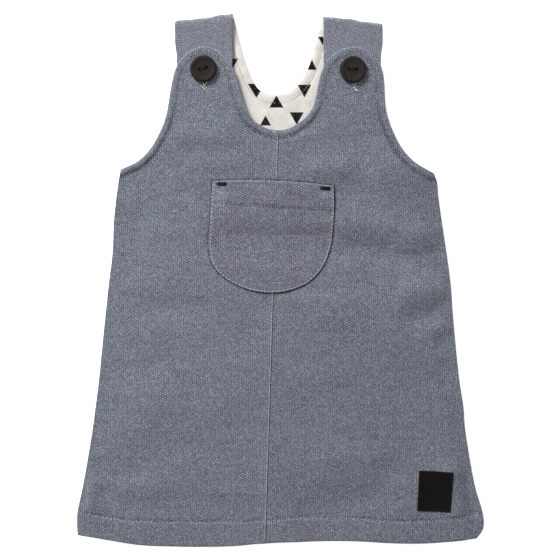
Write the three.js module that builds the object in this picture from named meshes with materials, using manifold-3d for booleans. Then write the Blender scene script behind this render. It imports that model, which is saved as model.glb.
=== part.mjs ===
// Toddler's pinafore dress with buttoned shoulder straps, laid flat on its back.
// Millimetres, +Z up. The dress lies on z = 0, its straps towards +Y, its front up.
// The origin is the middle of its outline, on the surface that it lies on.
// Every piece of cloth is a wall: a flat cut is placed point by point, its lower and its upper
// face a thickness apart, and its rim is closed all round.

import * as THREE from 'three';
import { mergeVertices } from 'three/addons/utils/BufferGeometryUtils.js';
import Module from 'manifold-3d';

const wasm = await Module();
wasm.setup();

// Thicknesses, and the gap left between pieces that touch
const twill = 1.2;
const liningCotton = 1.0;
const labelTape = 1.0;
const gap = 0.3;

// Heights of the layers under and over the shoulders, each resting on the one before
const liningFloor = twill + gap;
const frontFloor = liningFloor + liningCotton + gap;
const strapFloor = frontFloor + liningCotton + gap;
const tabFloor = strapFloor + twill + gap;
const buttonFloor = tabFloor + twill + gap;

// The shoulder fold: its radius at the middle of the twill, and how far the strap takes to settle
const foldRadius = 2.6;
const strapSettle = 19;
const strapEndY = 146;

// Hems, the lapped centre seam, and the pocket's lift over it
const hemFold = 1.2;
const lapHeight = 0.8;
const lapWidth = 9;
const pocketLiftFlat = 6;
const pocketLiftEnd = 20;
const pocketHemFold = 0.9;
const pocketGap = 0.4;

// The fronts lie a little loose, except at their free edges and in the hem. Their sides lie lower,
// because only the back is under them.
const frontLoft = 0.6;
const hemLoftShare = 0.3;
const edgeWidth = 12;
const sideFall = liningCotton + gap;
const sideFallWidth = 16;

// Buttons and buttonholes
const buttonDiameter = 21;
const buttonThickness = 3.2;
const buttonHoleDiameter = 1.9;
const buttonHoleSpacing = 4.6;
const shankRadius = 0.5;
const buttonholeLength = 23;
const buttonholeWidth = 1.7;

// Straight centre lines: the front seam leans, the back follows the neck down to the hem
const frontSeam = { topX: -1.4, topY: 119.2, footX: -11.6, footY: -210.4 };
const backCentre = { topX: -2.8, topY: 148.4, footX: -4.0, footY: -209 };

// Turns rows of numbers into rows with named columns
function table(names, rows) {
  return rows.map((row) => Object.fromEntries(names.map((name, column) => [name, row[column]])));
}

// The skirt, a row for each section from the underarm down to the hem.
// The side edges are shared by front and back. frontY and backY are the heights on the two
// centre lines, hemShare is how much of the hem's dips a row takes, hem is 1 in the turned hem.
const skirtRows = table(
  ['leftX', 'leftY', 'rightX', 'rightY', 'frontY', 'backY', 'hemShare', 'hem'],
  [
    [-127.6, 88.6, 123.4, 85.6, 119.3, 148.4, 0, 0],
    [-129.3, 79.0, 125.4, 77.5, 104, 118, 0, 0],
    [-130.9, 67.0, 126.2, 66.0, 86, 92, 0, 0],
    [-132.9, 46.4, 129.1, 46.4, 60, 60, 0, 0],
    [-134.0, 22.0, 132.6, 22.0, 32, 30, 0, 0],
    [-136.8, -4.0, 136.2, -4.0, 2, 0, 0, 0],
    [-140.6, -36, 138.9, -36, -32, -34, 0, 0],
    [-144.9, -78, 142.8, -78, -76, -78, 0, 0],
    [-150.7, -122, 148.0, -122, -121, -122, 0.1, 0],
    [-157.6, -163, 155.6, -163, -164, -164, 0.5, 0],
    [-162.0, -184.6, 161.4, -185.6, -190.2, -188.5, 1, 0],
    [-162.5, -187.8, 162.2, -188.8, -193.4, -191.7, 1, 1],
    [-162.6, -196.5, 162.6, -197.2, -202, -200, 1, 1],
    [-162.0, -204.4, 160.8, -205.8, -210.4, -208.5, 1, 1],
  ],
);
const liningLastRow = 2;

// How far the hem dips below the straight line between its ends, from left to right
const hemDips = {
  firstX: -162,
  step: 25,
  rows: [0, 2.6, 5.1, 5.8, 4.9, 2.6, 0.2, 0.1, 0, 1.0, 2.7, 3.5, 2.4, 0].map((dip) => ({ dip })),
};

// Front bodices, a row for each section from the round tab down to the underarm row.
// outer is the armhole side, inner the neck side, bow lifts the middle of a row.
const bodiceNames = ['outerX', 'outerY', 'innerX', 'innerY', 'bow'];
const leftBodice = table(bodiceNames, [
  [-72.0, 183.3, -48.8, 183.1, 3.2],
  [-80.3, 175.2, -41.2, 174.8, 1.2],
  [-84.4, 166.4, -36.3, 165.6, 0],
  [-86.6, 157.0, -33.0, 155.4, 0],
  [-88.4, 147.2, -30.9, 146.9, 0],
  [-89.8, 137.6, -27.7, 138.3, 0],
  [-92.2, 128.0, -22.9, 129.9, 0],
  [-96.2, 118.4, -17.2, 125.0, 0],
  [-103.2, 106.0, -11.6, 121.9, 0],
  [-113.4, 95.6, -6.2, 120.0, 0],
]);
const rightBodice = table(bodiceNames, [
  [70.8, 183.3, 46.8, 183.2, 3.2],
  [78.6, 175.6, 38.6, 176.4, 1.2],
  [82.2, 166.4, 33.6, 167.7, 0],
  [83.5, 157.0, 30.6, 157.4, 0],
  [83.9, 147.0, 28.8, 147.4, 0],
  [84.7, 137.6, 26.0, 138.0, 0],
  [87.0, 128.0, 20.8, 130.4, 0],
  [90.8, 118.2, 14.6, 125.6, 0],
  [97.6, 105.8, 8.6, 122.4, 0],
  [107.8, 94.8, 3.2, 120.6, 0],
]);

// Back yoke, a row for each section from just below the shoulder fold down to the underarm row
const yokeNames = ['outerX', 'outerY', 'innerX', 'innerY'];
const leftYoke = table(yokeNames, [
  [-79.5, 190.0, -33.5, 196.0],
  [-76.6, 175.0, -29.9, 182.0],
  [-75.8, 159.5, -26.0, 170.0],
  [-78.0, 144.0, -22.2, 161.0],
  [-84.5, 129.0, -17.8, 153.8],
  [-94.5, 113.0, -12.8, 150.3],
  [-107.5, 98.0, -7.8, 148.8],
]);
const rightYoke = table(yokeNames, [
  [77.0, 188.0, 30.1, 195.0],
  [73.6, 173.4, 26.5, 181.6],
  [72.4, 158.6, 22.8, 170.6],
  [74.2, 144.0, 18.6, 162.0],
  [79.4, 129.0, 13.2, 155.0],
  [88.6, 113.0, 7.6, 151.0],
  [101.6, 97.2, 2.4, 149.0],
]);
const backUnderarm = { leftX: -125.6, leftY: 87.2, rightX: 121.0, rightY: 84.4 };

// Shoulder folds: the line where each strap leaves the ground, tilted in degrees
const shoulders = {
  left: { side: -1, x: -60.0, y: 207.15, tilt: 7.5, halfWidth: 23.3 },
  right: { side: 1, x: 57.4, y: 205.4, tilt: -7.3, halfWidth: 23.8 },
};

// Patch pocket, a row for each section from its top edge down
const pocketRows = table(['outerX', 'outerY', 'innerX', 'innerY', 'bow', 'hem'], [
  [-53.8, 79.0, 43.0, 75.2, 2.2, 1],
  [-55.0, 63.5, 43.4, 59.3, 1.0, 1],
  [-55.3, 60.6, 43.3, 56.2, 0.8, 0],
  [-56.2, 43.5, 42.3, 42.0, 0, 0],
  [-56.9, 31.5, 41.0, 29.5, 0, 0],
  [-56.2, 21.5, 38.6, 20.5, -0.5, 0],
  [-53.6, 12.5, 35.2, 12.5, -1.0, 0],
  [-48.2, 5.2, 29.6, 4.6, -2.2, 0],
  [-39.6, -1.4, 21.6, -2.4, -3.2, 0],
  [-27.0, -7.0, 10.6, -7.4, -2.8, 0],
]);

// Label, its top and bottom edges
const labelRows = table(['outerX', 'outerY', 'innerX', 'innerY'], [
  [111.4, -152.5, 138.5, -153.6],
  [109.7, -184.6, 136.0, -185.5],
]);

// Main creases: soft ridges and troughs between two ends, with their height and half width
const creases = table(['fromX', 'fromY', 'toX', 'toY', 'height', 'width'], [
  [-62, 31, 48, 18, -0.5, 13],
  [62, 13, 128, 19, -0.9, 11],
  [66, 38, 126, 42, 0.8, 14],
  [30, -10, 66, 0, 0.5, 14],
  [96, -26, 134, -16, -0.9, 9],
  [104, -2, 132, 0, 0.7, 10],
  [-118, 54, -124, -8, 1.0, 12],
  [-96, -14, -70, -18, -0.5, 12],
  [-74, 103, -26, 111, -0.5, 11],
  [2, 108, 26, 110, -0.4, 10],
  [34, 99, 60, 92, 0.5, 12],
  [84, 74, 104, 84, -0.5, 12],
  [0, -172, 84, -154, -0.5, 22],
  [54, -132, 98, -112, -0.4, 14],
  [-142, -110, -104, -84, 0.6, 14],
]);

// 0 before the first value, 1 after the second, smooth between
function rise(value, from, to) {
  return THREE.MathUtils.smoothstep(value, from, to);
}

// A point on the leaning centre line at a given height
function lineX(line, y) {
  return line.topX + ((line.topY - y) * (line.footX - line.topX)) / (line.topY - line.footY);
}

// One row of a table between two of its rows: a Catmull-Rom curve through every column
function between(rows, index, share) {
  const at = (step) => rows[THREE.MathUtils.clamp(index + step, 0, rows.length - 1)];
  const column = (name) => {
    const [before, start, end, after] = [at(-1)[name], at(0)[name], at(1)[name], at(2)[name]];
    const startSlope = (end - before) / 2;
    const endSlope = (after - start) / 2;
    const bend = 2 * (start - end) + startSlope + endSlope;
    const pull = 3 * (end - start) - 2 * startSlope - endSlope;
    return start + share * (startSlope + share * (pull + share * bend));
  };
  return Object.fromEntries(Object.keys(rows[index]).map((name) => [name, column(name)]));
}

// Adds rows between a table's rows until no column changes by more than the step
function spread(rows, step) {
  const lines = [];
  for (let index = 0; index < rows.length - 1; index += 1) {
    const changes = Object.keys(rows[index]).map((name) => rows[index + 1][name] - rows[index][name]);
    const count = Math.ceil(Math.max(...changes.map(Math.abs)) / step);
    for (let part = 0; part < count; part += 1) lines.push(between(rows, index, part / count));
  }
  return [...lines, rows.at(-1)];
}

// Shares of a row's width, closer together near both edges
function columnShares(count) {
  const crowding = 0.55;
  return Array.from({ length: count + 1 }, (_, index) => {
    const even = index / count;
    const eased = (1 - Math.cos(Math.PI * even)) / 2;
    return THREE.MathUtils.lerp(even, eased, crowding);
  });
}

// The dip of the hem at one place across the dress
function hemDip(x) {
  const lastIndex = hemDips.rows.length - 2;
  const place = THREE.MathUtils.clamp((x - hemDips.firstX) / hemDips.step, 0, lastIndex + 1);
  const index = Math.min(Math.floor(place), lastIndex);
  return between(hemDips.rows, index, place - index).dip;
}

// A grid of cut points: a row of points for each line, from its outer to its inner end.
// side is the distance from the outer edge, inner the distance from the neck edge.
function grid(lines, shares) {
  return lines.map((line) => {
    const width = Math.hypot(line.innerX - line.outerX, line.innerY - line.outerY);
    return shares.map((share) => {
      const x = THREE.MathUtils.lerp(line.outerX, line.innerX, share);
      const chordY = THREE.MathUtils.lerp(line.outerY, line.innerY, share);
      const y = chordY + 4 * share * (1 - share) * (line.bow ?? 0) - hemDip(x) * (line.hemShare ?? 0);
      const side = share * width;
      const inner = line.atNeck ? width - side : Math.hypot(x - frontSeam.topX, y - frontSeam.topY);
      return { x, y, side, inner, hem: THREE.MathUtils.clamp(line.hem ?? 0, 0, 1) };
    });
  });
}

// A closed wall from one or more grids that share edges. lower and upper place a cut point.
function clothWall(grids, lower, upper) {
  const indexes = new Map();
  const cut = [];
  const indexOf = (point) => {
    const key = `${point.x.toFixed(3)} ${point.y.toFixed(3)}`;
    if (!indexes.has(key)) indexes.set(key, cut.push(point) - 1);
    return indexes.get(key);
  };
  const faces = [];
  for (const rows of grids) {
    const index = rows.map((row) => row.map(indexOf));
    const [first, second, third] = [rows[0][0], rows[1][0], rows[0][1]];
    const turn = (second.x - first.x) * (third.y - first.y) - (second.y - first.y) * (third.x - first.x);
    for (let row = 0; row < rows.length - 1; row += 1) {
      for (let column = 0; column < rows[row].length - 1; column += 1) {
        const near = [index[row][column], index[row][column + 1]];
        const far = [index[row + 1][column], index[row + 1][column + 1]];
        const pair = [[near[0], far[0], near[1]], [near[1], far[0], far[1]]];
        faces.push(...(turn > 0 ? pair : pair.map((face) => face.reverse())));
      }
    }
  }
  const lift = cut.length;
  const edges = faces.flatMap(([a, b, c]) => [[a, b], [b, c], [c, a]]);
  const known = new Set(edges.map(([from, to]) => `${from} ${to}`));
  const rim = edges.filter(([from, to]) => !known.has(`${to} ${from}`));
  const triangles = [
    ...faces.map(([a, b, c]) => [a + lift, b + lift, c + lift]),
    ...faces.map(([a, b, c]) => [c, b, a]),
    ...rim.flatMap(([from, to]) => [
      [to + lift, from + lift, from],
      [to + lift, from, to],
    ]),
  ];
  const geometry = new THREE.BufferGeometry();
  const points = [...cut.map(lower), ...cut.map(upper)];
  geometry.setFromPoints(points);
  geometry.setIndex(triangles.flat());
  geometry.computeVertexNormals();
  return geometry;
}

// Turns a geometry into a solid for cutting
function toSolid(geometry) {
  const bare = geometry.clone();
  bare.deleteAttribute('normal');
  bare.deleteAttribute('uv');
  const merged = mergeVertices(bare, 1e-4);
  return new wasm.Manifold(new wasm.Mesh({
    numProp: 3,
    vertProperties: new Float32Array(merged.attributes.position.array),
    triVerts: new Uint32Array(merged.index.array),
  }));
}

// Turns a solid back into a geometry
function toGeometry(solid) {
  const mesh = solid.getMesh();
  const geometry = new THREE.BufferGeometry();
  geometry.setAttribute('position', new THREE.BufferAttribute(mesh.vertProperties, mesh.numProp));
  geometry.setIndex(new THREE.BufferAttribute(mesh.triVerts, 1));
  geometry.computeVertexNormals();
  return geometry;
}

// Height of one crease at a point: a bell across it, with round ends
function creaseHeight(crease, x, y) {
  const [runX, runY] = [crease.toX - crease.fromX, crease.toY - crease.fromY];
  const along = ((x - crease.fromX) * runX + (y - crease.fromY) * runY) / (runX * runX + runY * runY);
  const share = THREE.MathUtils.clamp(along, 0, 1);
  const away = Math.hypot(x - crease.fromX - share * runX, y - crease.fromY - share * runY);
  return crease.height * Math.exp(-((away / crease.width) ** 2));
}

// Height of the fronts' lower face. looseness is 0 where the cloth is held down, 1 in the open.
function frontUnderside(x, y, looseness) {
  const overStrap = rise(y, strapEndY - 28, strapEndY - 8);
  const held = frontFloor + (tabFloor - frontFloor) * overStrap;
  const loft = frontLoft * (1 - overStrap);
  return held + looseness * creases.reduce((sum, crease) => sum + creaseHeight(crease, x, y), loft);
}

// Height of a front panel's lower face: it falls at the sides, rises where it laps the seam, and
// stays clear of the back
function panelUnderside(point, lap) {
  const fallShare = rise(-point.y, -66, -46) * rise(point.y, -184, -160);
  const fall = sideFall * fallShare * (1 - rise(point.side, 0, sideFallWidth));
  const seamAway = Math.abs(point.x - lineX(frontSeam, point.y));
  const lapped = lap * (1 - rise(seamAway, 0, lapWidth));
  const lowest = twill + gap + hemFold * point.hem;
  const inTheOpen = rise(Math.min(point.side, point.inner), 0, edgeWidth);
  const looseness = inTheOpen * THREE.MathUtils.lerp(1, hemLoftShare, point.hem);
  return Math.max(frontUnderside(point.x, point.y, looseness) - fall + lapped, lowest);
}

// A front panel, from its tab to its hem, with its buttonhole cut through
function frontPanel({ bodice, outerX, outerY, seamSide, lap, buttonholeX }) {
  const skirt = skirtRows.map((row) => ({
    outerX: row[outerX],
    outerY: row[outerY],
    innerX: lineX(frontSeam, row.frontY) + (seamSide * gap) / 2,
    innerY: row.frontY,
    bow: 0,
    hemShare: row.hemShare,
    hem: row.hem,
  }));
  const bodiceRows = [...bodice.map((row) => ({ ...row, hemShare: 0, hem: 0 })), skirt[0]];
  const bodiceLines = spread(bodiceRows, 12).map((line) => ({ ...line, atNeck: true }));
  const lines = [...bodiceLines.slice(0, -1), ...spread(skirt, 12)];
  const wall = clothWall(
    [grid(lines, columnShares(15))],
    (point) => new THREE.Vector3(point.x, point.y, panelUnderside(point, lap)),
    (point) => {
      const thickness = twill + hemFold * point.hem;
      return new THREE.Vector3(point.x, point.y, panelUnderside(point, lap) + thickness);
    },
  );
  const slit = new THREE.BoxGeometry(buttonholeWidth, buttonholeLength, 4 * twill);
  slit.translate(buttonholeX, buttonholeY, tabFloor + twill / 2);
  return toGeometry(toSolid(wall).subtract(toSolid(slit)));
}

// Carries a point of the back's flat cut round the shoulder fold. depth is measured from the
// middle of the twill towards the inside of the dress.
function placeBack(point, depth) {
  const shoulder = point.x < backCentre.topX ? shoulders.left : shoulders.right;
  const tilt = THREE.MathUtils.degToRad(shoulder.tilt);
  const ahead = new THREE.Vector2(-Math.sin(tilt), Math.cos(tilt));
  const past = (point.x - shoulder.x) * ahead.x + (point.y - shoulder.y) * ahead.y;
  const bendLength = Math.PI * foldRadius;
  let moved = past;
  let z = twill / 2 + depth;
  if (past > bendLength) {
    const beyond = past - bendLength;
    const sink = twill / 2 + 2 * foldRadius - (strapFloor + twill / 2);
    moved = -beyond;
    z = twill / 2 + 2 * foldRadius - depth - sink * rise(beyond, 0, strapSettle);
  } else if (past > 0) {
    const angle = past / foldRadius;
    moved = (foldRadius - depth) * Math.sin(angle);
    z = twill / 2 + foldRadius - (foldRadius - depth) * Math.cos(angle);
  }
  return new THREE.Vector3(point.x + (moved - past) * ahead.x, point.y + (moved - past) * ahead.y, z);
}

// A line straight across a strap, at a distance past the shoulder fold
function strapLine(shoulder, past) {
  const tilt = THREE.MathUtils.degToRad(shoulder.tilt);
  const reach = past / Math.cos(tilt);
  const centreX = shoulder.x - Math.sin(2 * tilt) * reach;
  const centreY = shoulder.y + Math.cos(2 * tilt) * reach;
  const acrossX = shoulder.side * shoulder.halfWidth * Math.cos(tilt);
  const acrossY = shoulder.side * shoulder.halfWidth * Math.sin(tilt);
  return {
    outerX: centreX + acrossX,
    outerY: centreY + acrossY,
    innerX: centreX - acrossX,
    innerY: centreY - acrossY,
  };
}

// Half of the back's flat cut, from the strap's end down to a row of the skirt
function backLines(shoulder, yoke, names, lastRow) {
  const bendLength = Math.PI * foldRadius;
  const bendSteps = 8;
  const strapLength = bendLength + shoulder.y - strapEndY;
  const strap = [strapLine(shoulder, strapLength), strapLine(shoulder, bendLength)];
  const bend = Array.from({ length: bendSteps }, (_, step) =>
    strapLine(shoulder, (bendLength * (bendSteps - 1 - step)) / bendSteps));
  const inset = shoulder.side * 2 * gap;
  const body = skirtRows.slice(0, lastRow + 1).map((row) => ({
    outerX: row[names.outerX] - inset,
    outerY: row[names.outerY],
    innerX: lineX(backCentre, row.backY),
    innerY: row.backY,
    hemShare: row.hemShare,
    hem: row.hem,
  }));
  body[0].outerX = backUnderarm[names.outerX];
  body[0].outerY = backUnderarm[names.outerY];
  return [...spread(strap, 8), ...bend, ...yoke, ...body];
}

// The two halves of the back's flat cut, which share the centre line
function backGrids(lastRow) {
  const shares = columnShares(8);
  const leftNames = { outerX: 'leftX', outerY: 'leftY' };
  const rightNames = { outerX: 'rightX', outerY: 'rightY' };
  return [
    grid(backLines(shoulders.left, leftYoke, leftNames, lastRow), shares),
    grid(backLines(shoulders.right, rightYoke, rightNames, lastRow), shares),
  ];
}

// The back, with both straps folded over
function backPanel() {
  return clothWall(
    backGrids(skirtRows.length - 1),
    (point) => placeBack(point, -twill / 2),
    (point) => placeBack(point, twill / 2 + hemFold * point.hem),
  );
}

// The printed lining, which follows the back and its straps
function backLining() {
  return clothWall(
    backGrids(liningLastRow),
    (point) => placeBack(point, twill / 2 + gap),
    (point) => placeBack(point, twill / 2 + gap + liningCotton),
  );
}

// The pocket lies on both fronts and bridges the step of their seam
function pocketPatch() {
  const underside = (point) => {
    const seamAway = Math.abs(point.x - lineX(frontSeam, point.y));
    const lift = lapHeight * (1 - rise(seamAway, pocketLiftFlat, pocketLiftEnd));
    return frontUnderside(point.x, point.y, 1) + twill + lift + pocketGap;
  };
  return clothWall(
    [grid(spread(pocketRows, 8), columnShares(14))],
    (point) => new THREE.Vector3(point.x, point.y, underside(point)),
    (point) => {
      const thickness = twill + pocketHemFold * point.hem;
      return new THREE.Vector3(point.x, point.y, underside(point) + thickness);
    },
  );
}

// The label lies on the right front
function labelPatch() {
  const place = (point, height) =>
    new THREE.Vector3(point.x, point.y, frontUnderside(point.x, point.y, 1) + twill + gap + height);
  return clothWall(
    [grid(spread(labelRows, 7), columnShares(4))],
    (point) => place(point, 0),
    (point) => place(point, labelTape),
  );
}

// A round button with a sunk middle, on the thread shank that holds it to the strap.
// The shank ends just above the strap, and the two holes lie along the given turn.
function sewnButton(centre, holeTurn) {
  const radius = buttonDiameter / 2;
  const profile = [
    [0, strapFloor + twill + gap],
    [shankRadius, strapFloor + twill + gap],
    [shankRadius, buttonFloor],
    [radius - 1.6, buttonFloor],
    [radius - 0.4, buttonFloor + 0.8],
    [radius, buttonFloor + 1.7],
    [radius - 0.5, buttonFloor + 2.7],
    [radius - 1.6, buttonFloor + buttonThickness],
    [radius - 2.8, buttonFloor + buttonThickness - 0.2],
    [radius - 4.2, buttonFloor + buttonThickness - 0.8],
    [0, buttonFloor + buttonThickness - 0.9],
  ].map(([across, height]) => new THREE.Vector2(across, height));
  const disc = new THREE.LatheGeometry(profile, 32);
  disc.rotateX(Math.PI / 2);
  let button = toSolid(disc);
  for (const side of [-1, 1]) {
    const hole = new THREE.CylinderGeometry(buttonHoleDiameter / 2, buttonHoleDiameter / 2, 12, 12);
    hole.rotateX(Math.PI / 2);
    hole.translate((side * buttonHoleSpacing) / 2, 0, buttonFloor + buttonThickness / 2);
    button = button.subtract(toSolid(hole));
  }
  const geometry = toGeometry(button);
  geometry.rotateZ(holeTurn);
  geometry.translate(centre.x, centre.y, 0);
  return geometry;
}

// Buttons, and the buttonholes that they come through
const leftButton = { x: -61.3, y: 169.6, holeTurn: THREE.MathUtils.degToRad(18) };
const rightButton = { x: 58.8, y: 168.8, holeTurn: 0 };
const buttonholeY = 163;

const leftPanel = frontPanel({
  bodice: leftBodice,
  outerX: 'leftX',
  outerY: 'leftY',
  seamSide: -1,
  lap: lapHeight,
  buttonholeX: leftButton.x,
});
const rightPanel = frontPanel({
  bodice: rightBodice,
  outerX: 'rightX',
  outerY: 'rightY',
  seamSide: 1,
  lap: 0,
  buttonholeX: rightButton.x,
});

// Colours of the finished materials
const finishes = {
  twill: { color: 0x73777f, roughness: 0.92, metalness: 0 },
  lining: { color: 0xe6e0d8, roughness: 0.9, metalness: 0 },
  label: { color: 0x17171a, roughness: 0.8, metalness: 0 },
  button: { color: 0x2d2a2b, roughness: 0.45, metalness: 0 },
};

// One named mesh with a material of its own
function piece(name, geometry, finish) {
  const mesh = new THREE.Mesh(geometry, new THREE.MeshStandardMaterial(finishes[finish]));
  mesh.name = name;
  return mesh;
}

const dress = new THREE.Group();
dress.add(
  piece('back', backPanel(), 'twill'),
  piece('back_lining', backLining(), 'lining'),
  piece('front_left', leftPanel, 'twill'),
  piece('front_right', rightPanel, 'twill'),
  piece('pocket', pocketPatch(), 'twill'),
  piece('label', labelPatch(), 'label'),
  piece('button_left', sewnButton(leftButton, leftButton.holeTurn), 'button'),
  piece('button_right', sewnButton(rightButton, rightButton.holeTurn), 'button'),
);

export default dress;
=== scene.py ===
# %% [markdown]
# # A toddler's pinafore dress, laid flat
# The real dress is cut from a blue-grey melange cloth: two fronts joined by a lapped centre seam,
# a back with both shoulder straps cut in one with it, a patch pocket, and a printed cotton lining
# that shows inside the back neck. The straps fold over the shoulders and end under the buttoned
# tabs of the fronts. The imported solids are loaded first, and each piece of cloth and each button
# that is made here takes the place of one of them.

import bmesh
import bpy
import numpy as np
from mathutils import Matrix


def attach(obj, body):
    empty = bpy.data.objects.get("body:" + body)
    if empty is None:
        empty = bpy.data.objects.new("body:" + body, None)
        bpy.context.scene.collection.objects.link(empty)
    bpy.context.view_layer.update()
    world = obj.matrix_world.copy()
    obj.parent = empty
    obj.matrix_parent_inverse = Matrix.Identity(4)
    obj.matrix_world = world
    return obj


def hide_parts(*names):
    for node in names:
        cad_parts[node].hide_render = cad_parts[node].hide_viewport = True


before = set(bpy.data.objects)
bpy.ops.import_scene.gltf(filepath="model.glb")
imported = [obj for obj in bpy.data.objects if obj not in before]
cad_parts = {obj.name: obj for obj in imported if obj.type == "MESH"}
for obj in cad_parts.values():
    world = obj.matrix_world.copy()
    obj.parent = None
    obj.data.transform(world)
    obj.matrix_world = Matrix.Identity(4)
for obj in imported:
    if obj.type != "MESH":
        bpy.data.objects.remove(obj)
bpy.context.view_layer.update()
MM = 0.001
print("nodes:", ", ".join(sorted(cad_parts)))

# %% [markdown]
# ## The cut of the dress
# A dressmaker draws each piece flat, as a pattern. The tables below are that pattern in
# millimetres, one row for each height: where the row starts, on the armhole or side edge, and
# where it ends, on the neck edge or the centre seam. Every surface is worked out from these rows.

# %% Thicknesses and heights of the layers
TWILL, LINING_COTTON, GAP = 1.2, 1.0, 0.3
FRONT_FLOOR = TWILL + GAP + LINING_COTTON + GAP
STRAP_FLOOR = FRONT_FLOOR + LINING_COTTON + GAP
TAB_FLOOR = STRAP_FLOOR + TWILL + GAP
BUTTON_FLOOR = TAB_FLOOR + TWILL + GAP
FOLD_RADIUS, STRAP_SETTLE, STRAP_END_Y = 2.6, 19.0, 146.0
HEM_FOLD, LAP_HEIGHT, LAP_WIDTH, SEAM_GAP = 1.2, 0.55, 9.0, 0.1
SEAM_TOP, SEAM_FOOT = np.array([-1.0, 119.9]), np.array([-11.5, -210.4])
BACK_TOP, BACK_FOOT = np.array([-2.8, 148.4]), np.array([-4.0, -209.0])

# %% The rows of the pattern
# Skirt: left x, left y, right x, right y, height on the front seam, height on the back's middle,
# share of the hem's dips
SKIRT = np.array([
    [-127.6, 88.6, 123.4, 85.6, 119.9, 148.4, 0],
    [-129.4, 79.0, 126.0, 77.5, 104, 118, 0],
    [-131.1, 67.0, 127.0, 66.0, 86, 92, 0],
    [-133.4, 46.4, 129.9, 46.4, 60, 60, 0],
    [-134.4, 22.0, 133.6, 22.0, 32, 30, 0],
    [-137.5, -4.0, 137.0, -4.0, 2, 0, 0],
    [-140.9, -36, 139.4, -36, -32, -34, 0],
    [-145.1, -78, 143.6, -78, -76, -78, 0],
    [-148.1, -102, 147.2, -102, -101, -102, 0.03],
    [-150.8, -122, 148.9, -122, -121, -122, 0.1],
    [-157.7, -163, 155.9, -163, -164, -164, 0.5],
    [-162.1, -184.6, 162.2, -185.6, -190.2, -188.5, 1],
    [-162.6, -196.5, 162.8, -198.6, -202, -200, 1],
    [-162.0, -204.4, 157.4, -206.6, -210.4, -208.5, 1],
])
LINING_LAST_ROW = 2
HEM_DIP_X = np.linspace(-162, 163, 14)
HEM_DIPS = np.array([0, 3.1, 5.9, 6.0, 5.3, 3.7, 0.6, 0.1, -0.2, 0.6, 2.6, 3.5, 2.4, 0])

# Bodices: armhole x, armhole y, neck x, neck y, bow of the row
LEFT_BODICE = np.array([
    [-72.0, 183.3, -48.8, 183.1, 3.2],
    [-80.3, 175.2, -41.2, 174.8, 1.2],
    [-84.4, 166.4, -36.3, 165.6, 0],
    [-86.6, 157.0, -33.0, 155.4, 0],
    [-88.4, 147.2, -30.9, 146.9, 0],
    [-89.8, 137.6, -27.7, 138.3, 0],
    [-92.2, 128.0, -22.9, 129.9, 0],
    [-96.2, 118.4, -17.2, 125.0, 0],
    [-103.2, 106.0, -11.6, 121.9, 0],
    [-113.4, 95.6, -6.2, 120.3, 0],
])
RIGHT_BODICE = np.array([
    [70.8, 183.3, 46.8, 183.2, 3.2],
    [78.6, 175.6, 38.6, 176.4, 1.2],
    [82.2, 166.4, 33.6, 167.7, 0],
    [83.5, 157.0, 30.6, 157.4, 0],
    [83.9, 147.0, 28.8, 147.4, 0],
    [84.7, 137.6, 26.0, 138.0, 0],
    [87.0, 128.0, 20.8, 130.4, 0],
    [90.8, 118.2, 14.6, 125.6, 0],
    [97.6, 105.8, 8.6, 122.0, 0],
    [107.8, 94.8, 3.6, 120.35, 0],
])

# Back yoke: armhole x, armhole y, neck x, neck y
LEFT_YOKE = np.array([
    [-79.5, 190.0, -33.5, 196.0],
    [-76.6, 175.0, -29.9, 182.0],
    [-75.8, 159.5, -26.0, 170.0],
    [-78.0, 144.0, -22.2, 161.0],
    [-84.5, 129.0, -17.8, 153.8],
    [-94.5, 113.0, -12.8, 150.3],
    [-107.5, 98.0, -7.8, 148.8],
])
RIGHT_YOKE = np.array([
    [77.0, 188.0, 30.1, 195.0],
    [73.6, 173.4, 26.5, 181.6],
    [72.4, 158.6, 22.8, 170.6],
    [74.2, 144.0, 18.6, 162.0],
    [79.4, 129.0, 13.2, 155.0],
    [88.6, 113.0, 7.6, 151.0],
    [101.6, 97.2, 2.4, 149.0],
])
BACK_UNDERARMS = {-1: (-125.6, 87.2), 1: (121.0, 84.4)}

# Shoulder folds: middle x, middle y, tilt in degrees, half the strap's width
SHOULDERS = {-1: (-60.0, 207.15, 7.5, 23.3), 1: (57.4, 205.4, -7.3, 23.8)}

# Pocket: left x, left y, right x, right y, bow of the row
POCKET = np.array([
    [-53.8, 79.0, 43.0, 75.2, 2.2],
    [-55.0, 63.5, 43.4, 59.3, 1.0],
    [-56.2, 43.5, 42.3, 42.0, 0],
    [-56.9, 31.5, 41.0, 29.5, 0],
    [-56.2, 21.5, 38.6, 20.5, -0.5],
    [-53.6, 12.5, 35.2, 12.5, -1.0],
    [-48.2, 5.2, 29.6, 4.6, -2.2],
    [-39.6, -1.4, 21.6, -2.4, -3.2],
    [-27.0, -7.0, 10.6, -7.4, -2.8],
])
LABEL = np.array([[111.4, -152.5, 138.5, -153.6], [109.7, -184.6, 136.0, -185.5]])

# The hem's stitch line, and the pocket's
HEM_LINE = np.array([
    [-163, -184.2], [-152.4, -186.4], [-138, -189.6], [-122.4, -191.6], [-104.8, -192.7],
    [-68.8, -193.3], [-36, -193.0], [-11.2, -192.0], [3, -190.8], [25.6, -189.8], [55.2, -189.9],
    [87.2, -192.2], [101.6, -192.5], [120, -191.6], [136, -189.9], [150, -188.2], [163, -186.0],
])
POCKET_HEM_LINE = np.array([[-55, 62.4], [-39.4, 60.9], [-14.9, 59.3], [9.6, 57.6], [43.4, 55.9]])
print("pattern rows:", len(SKIRT) + len(LEFT_BODICE) + len(RIGHT_BODICE) + len(POCKET))
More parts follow.
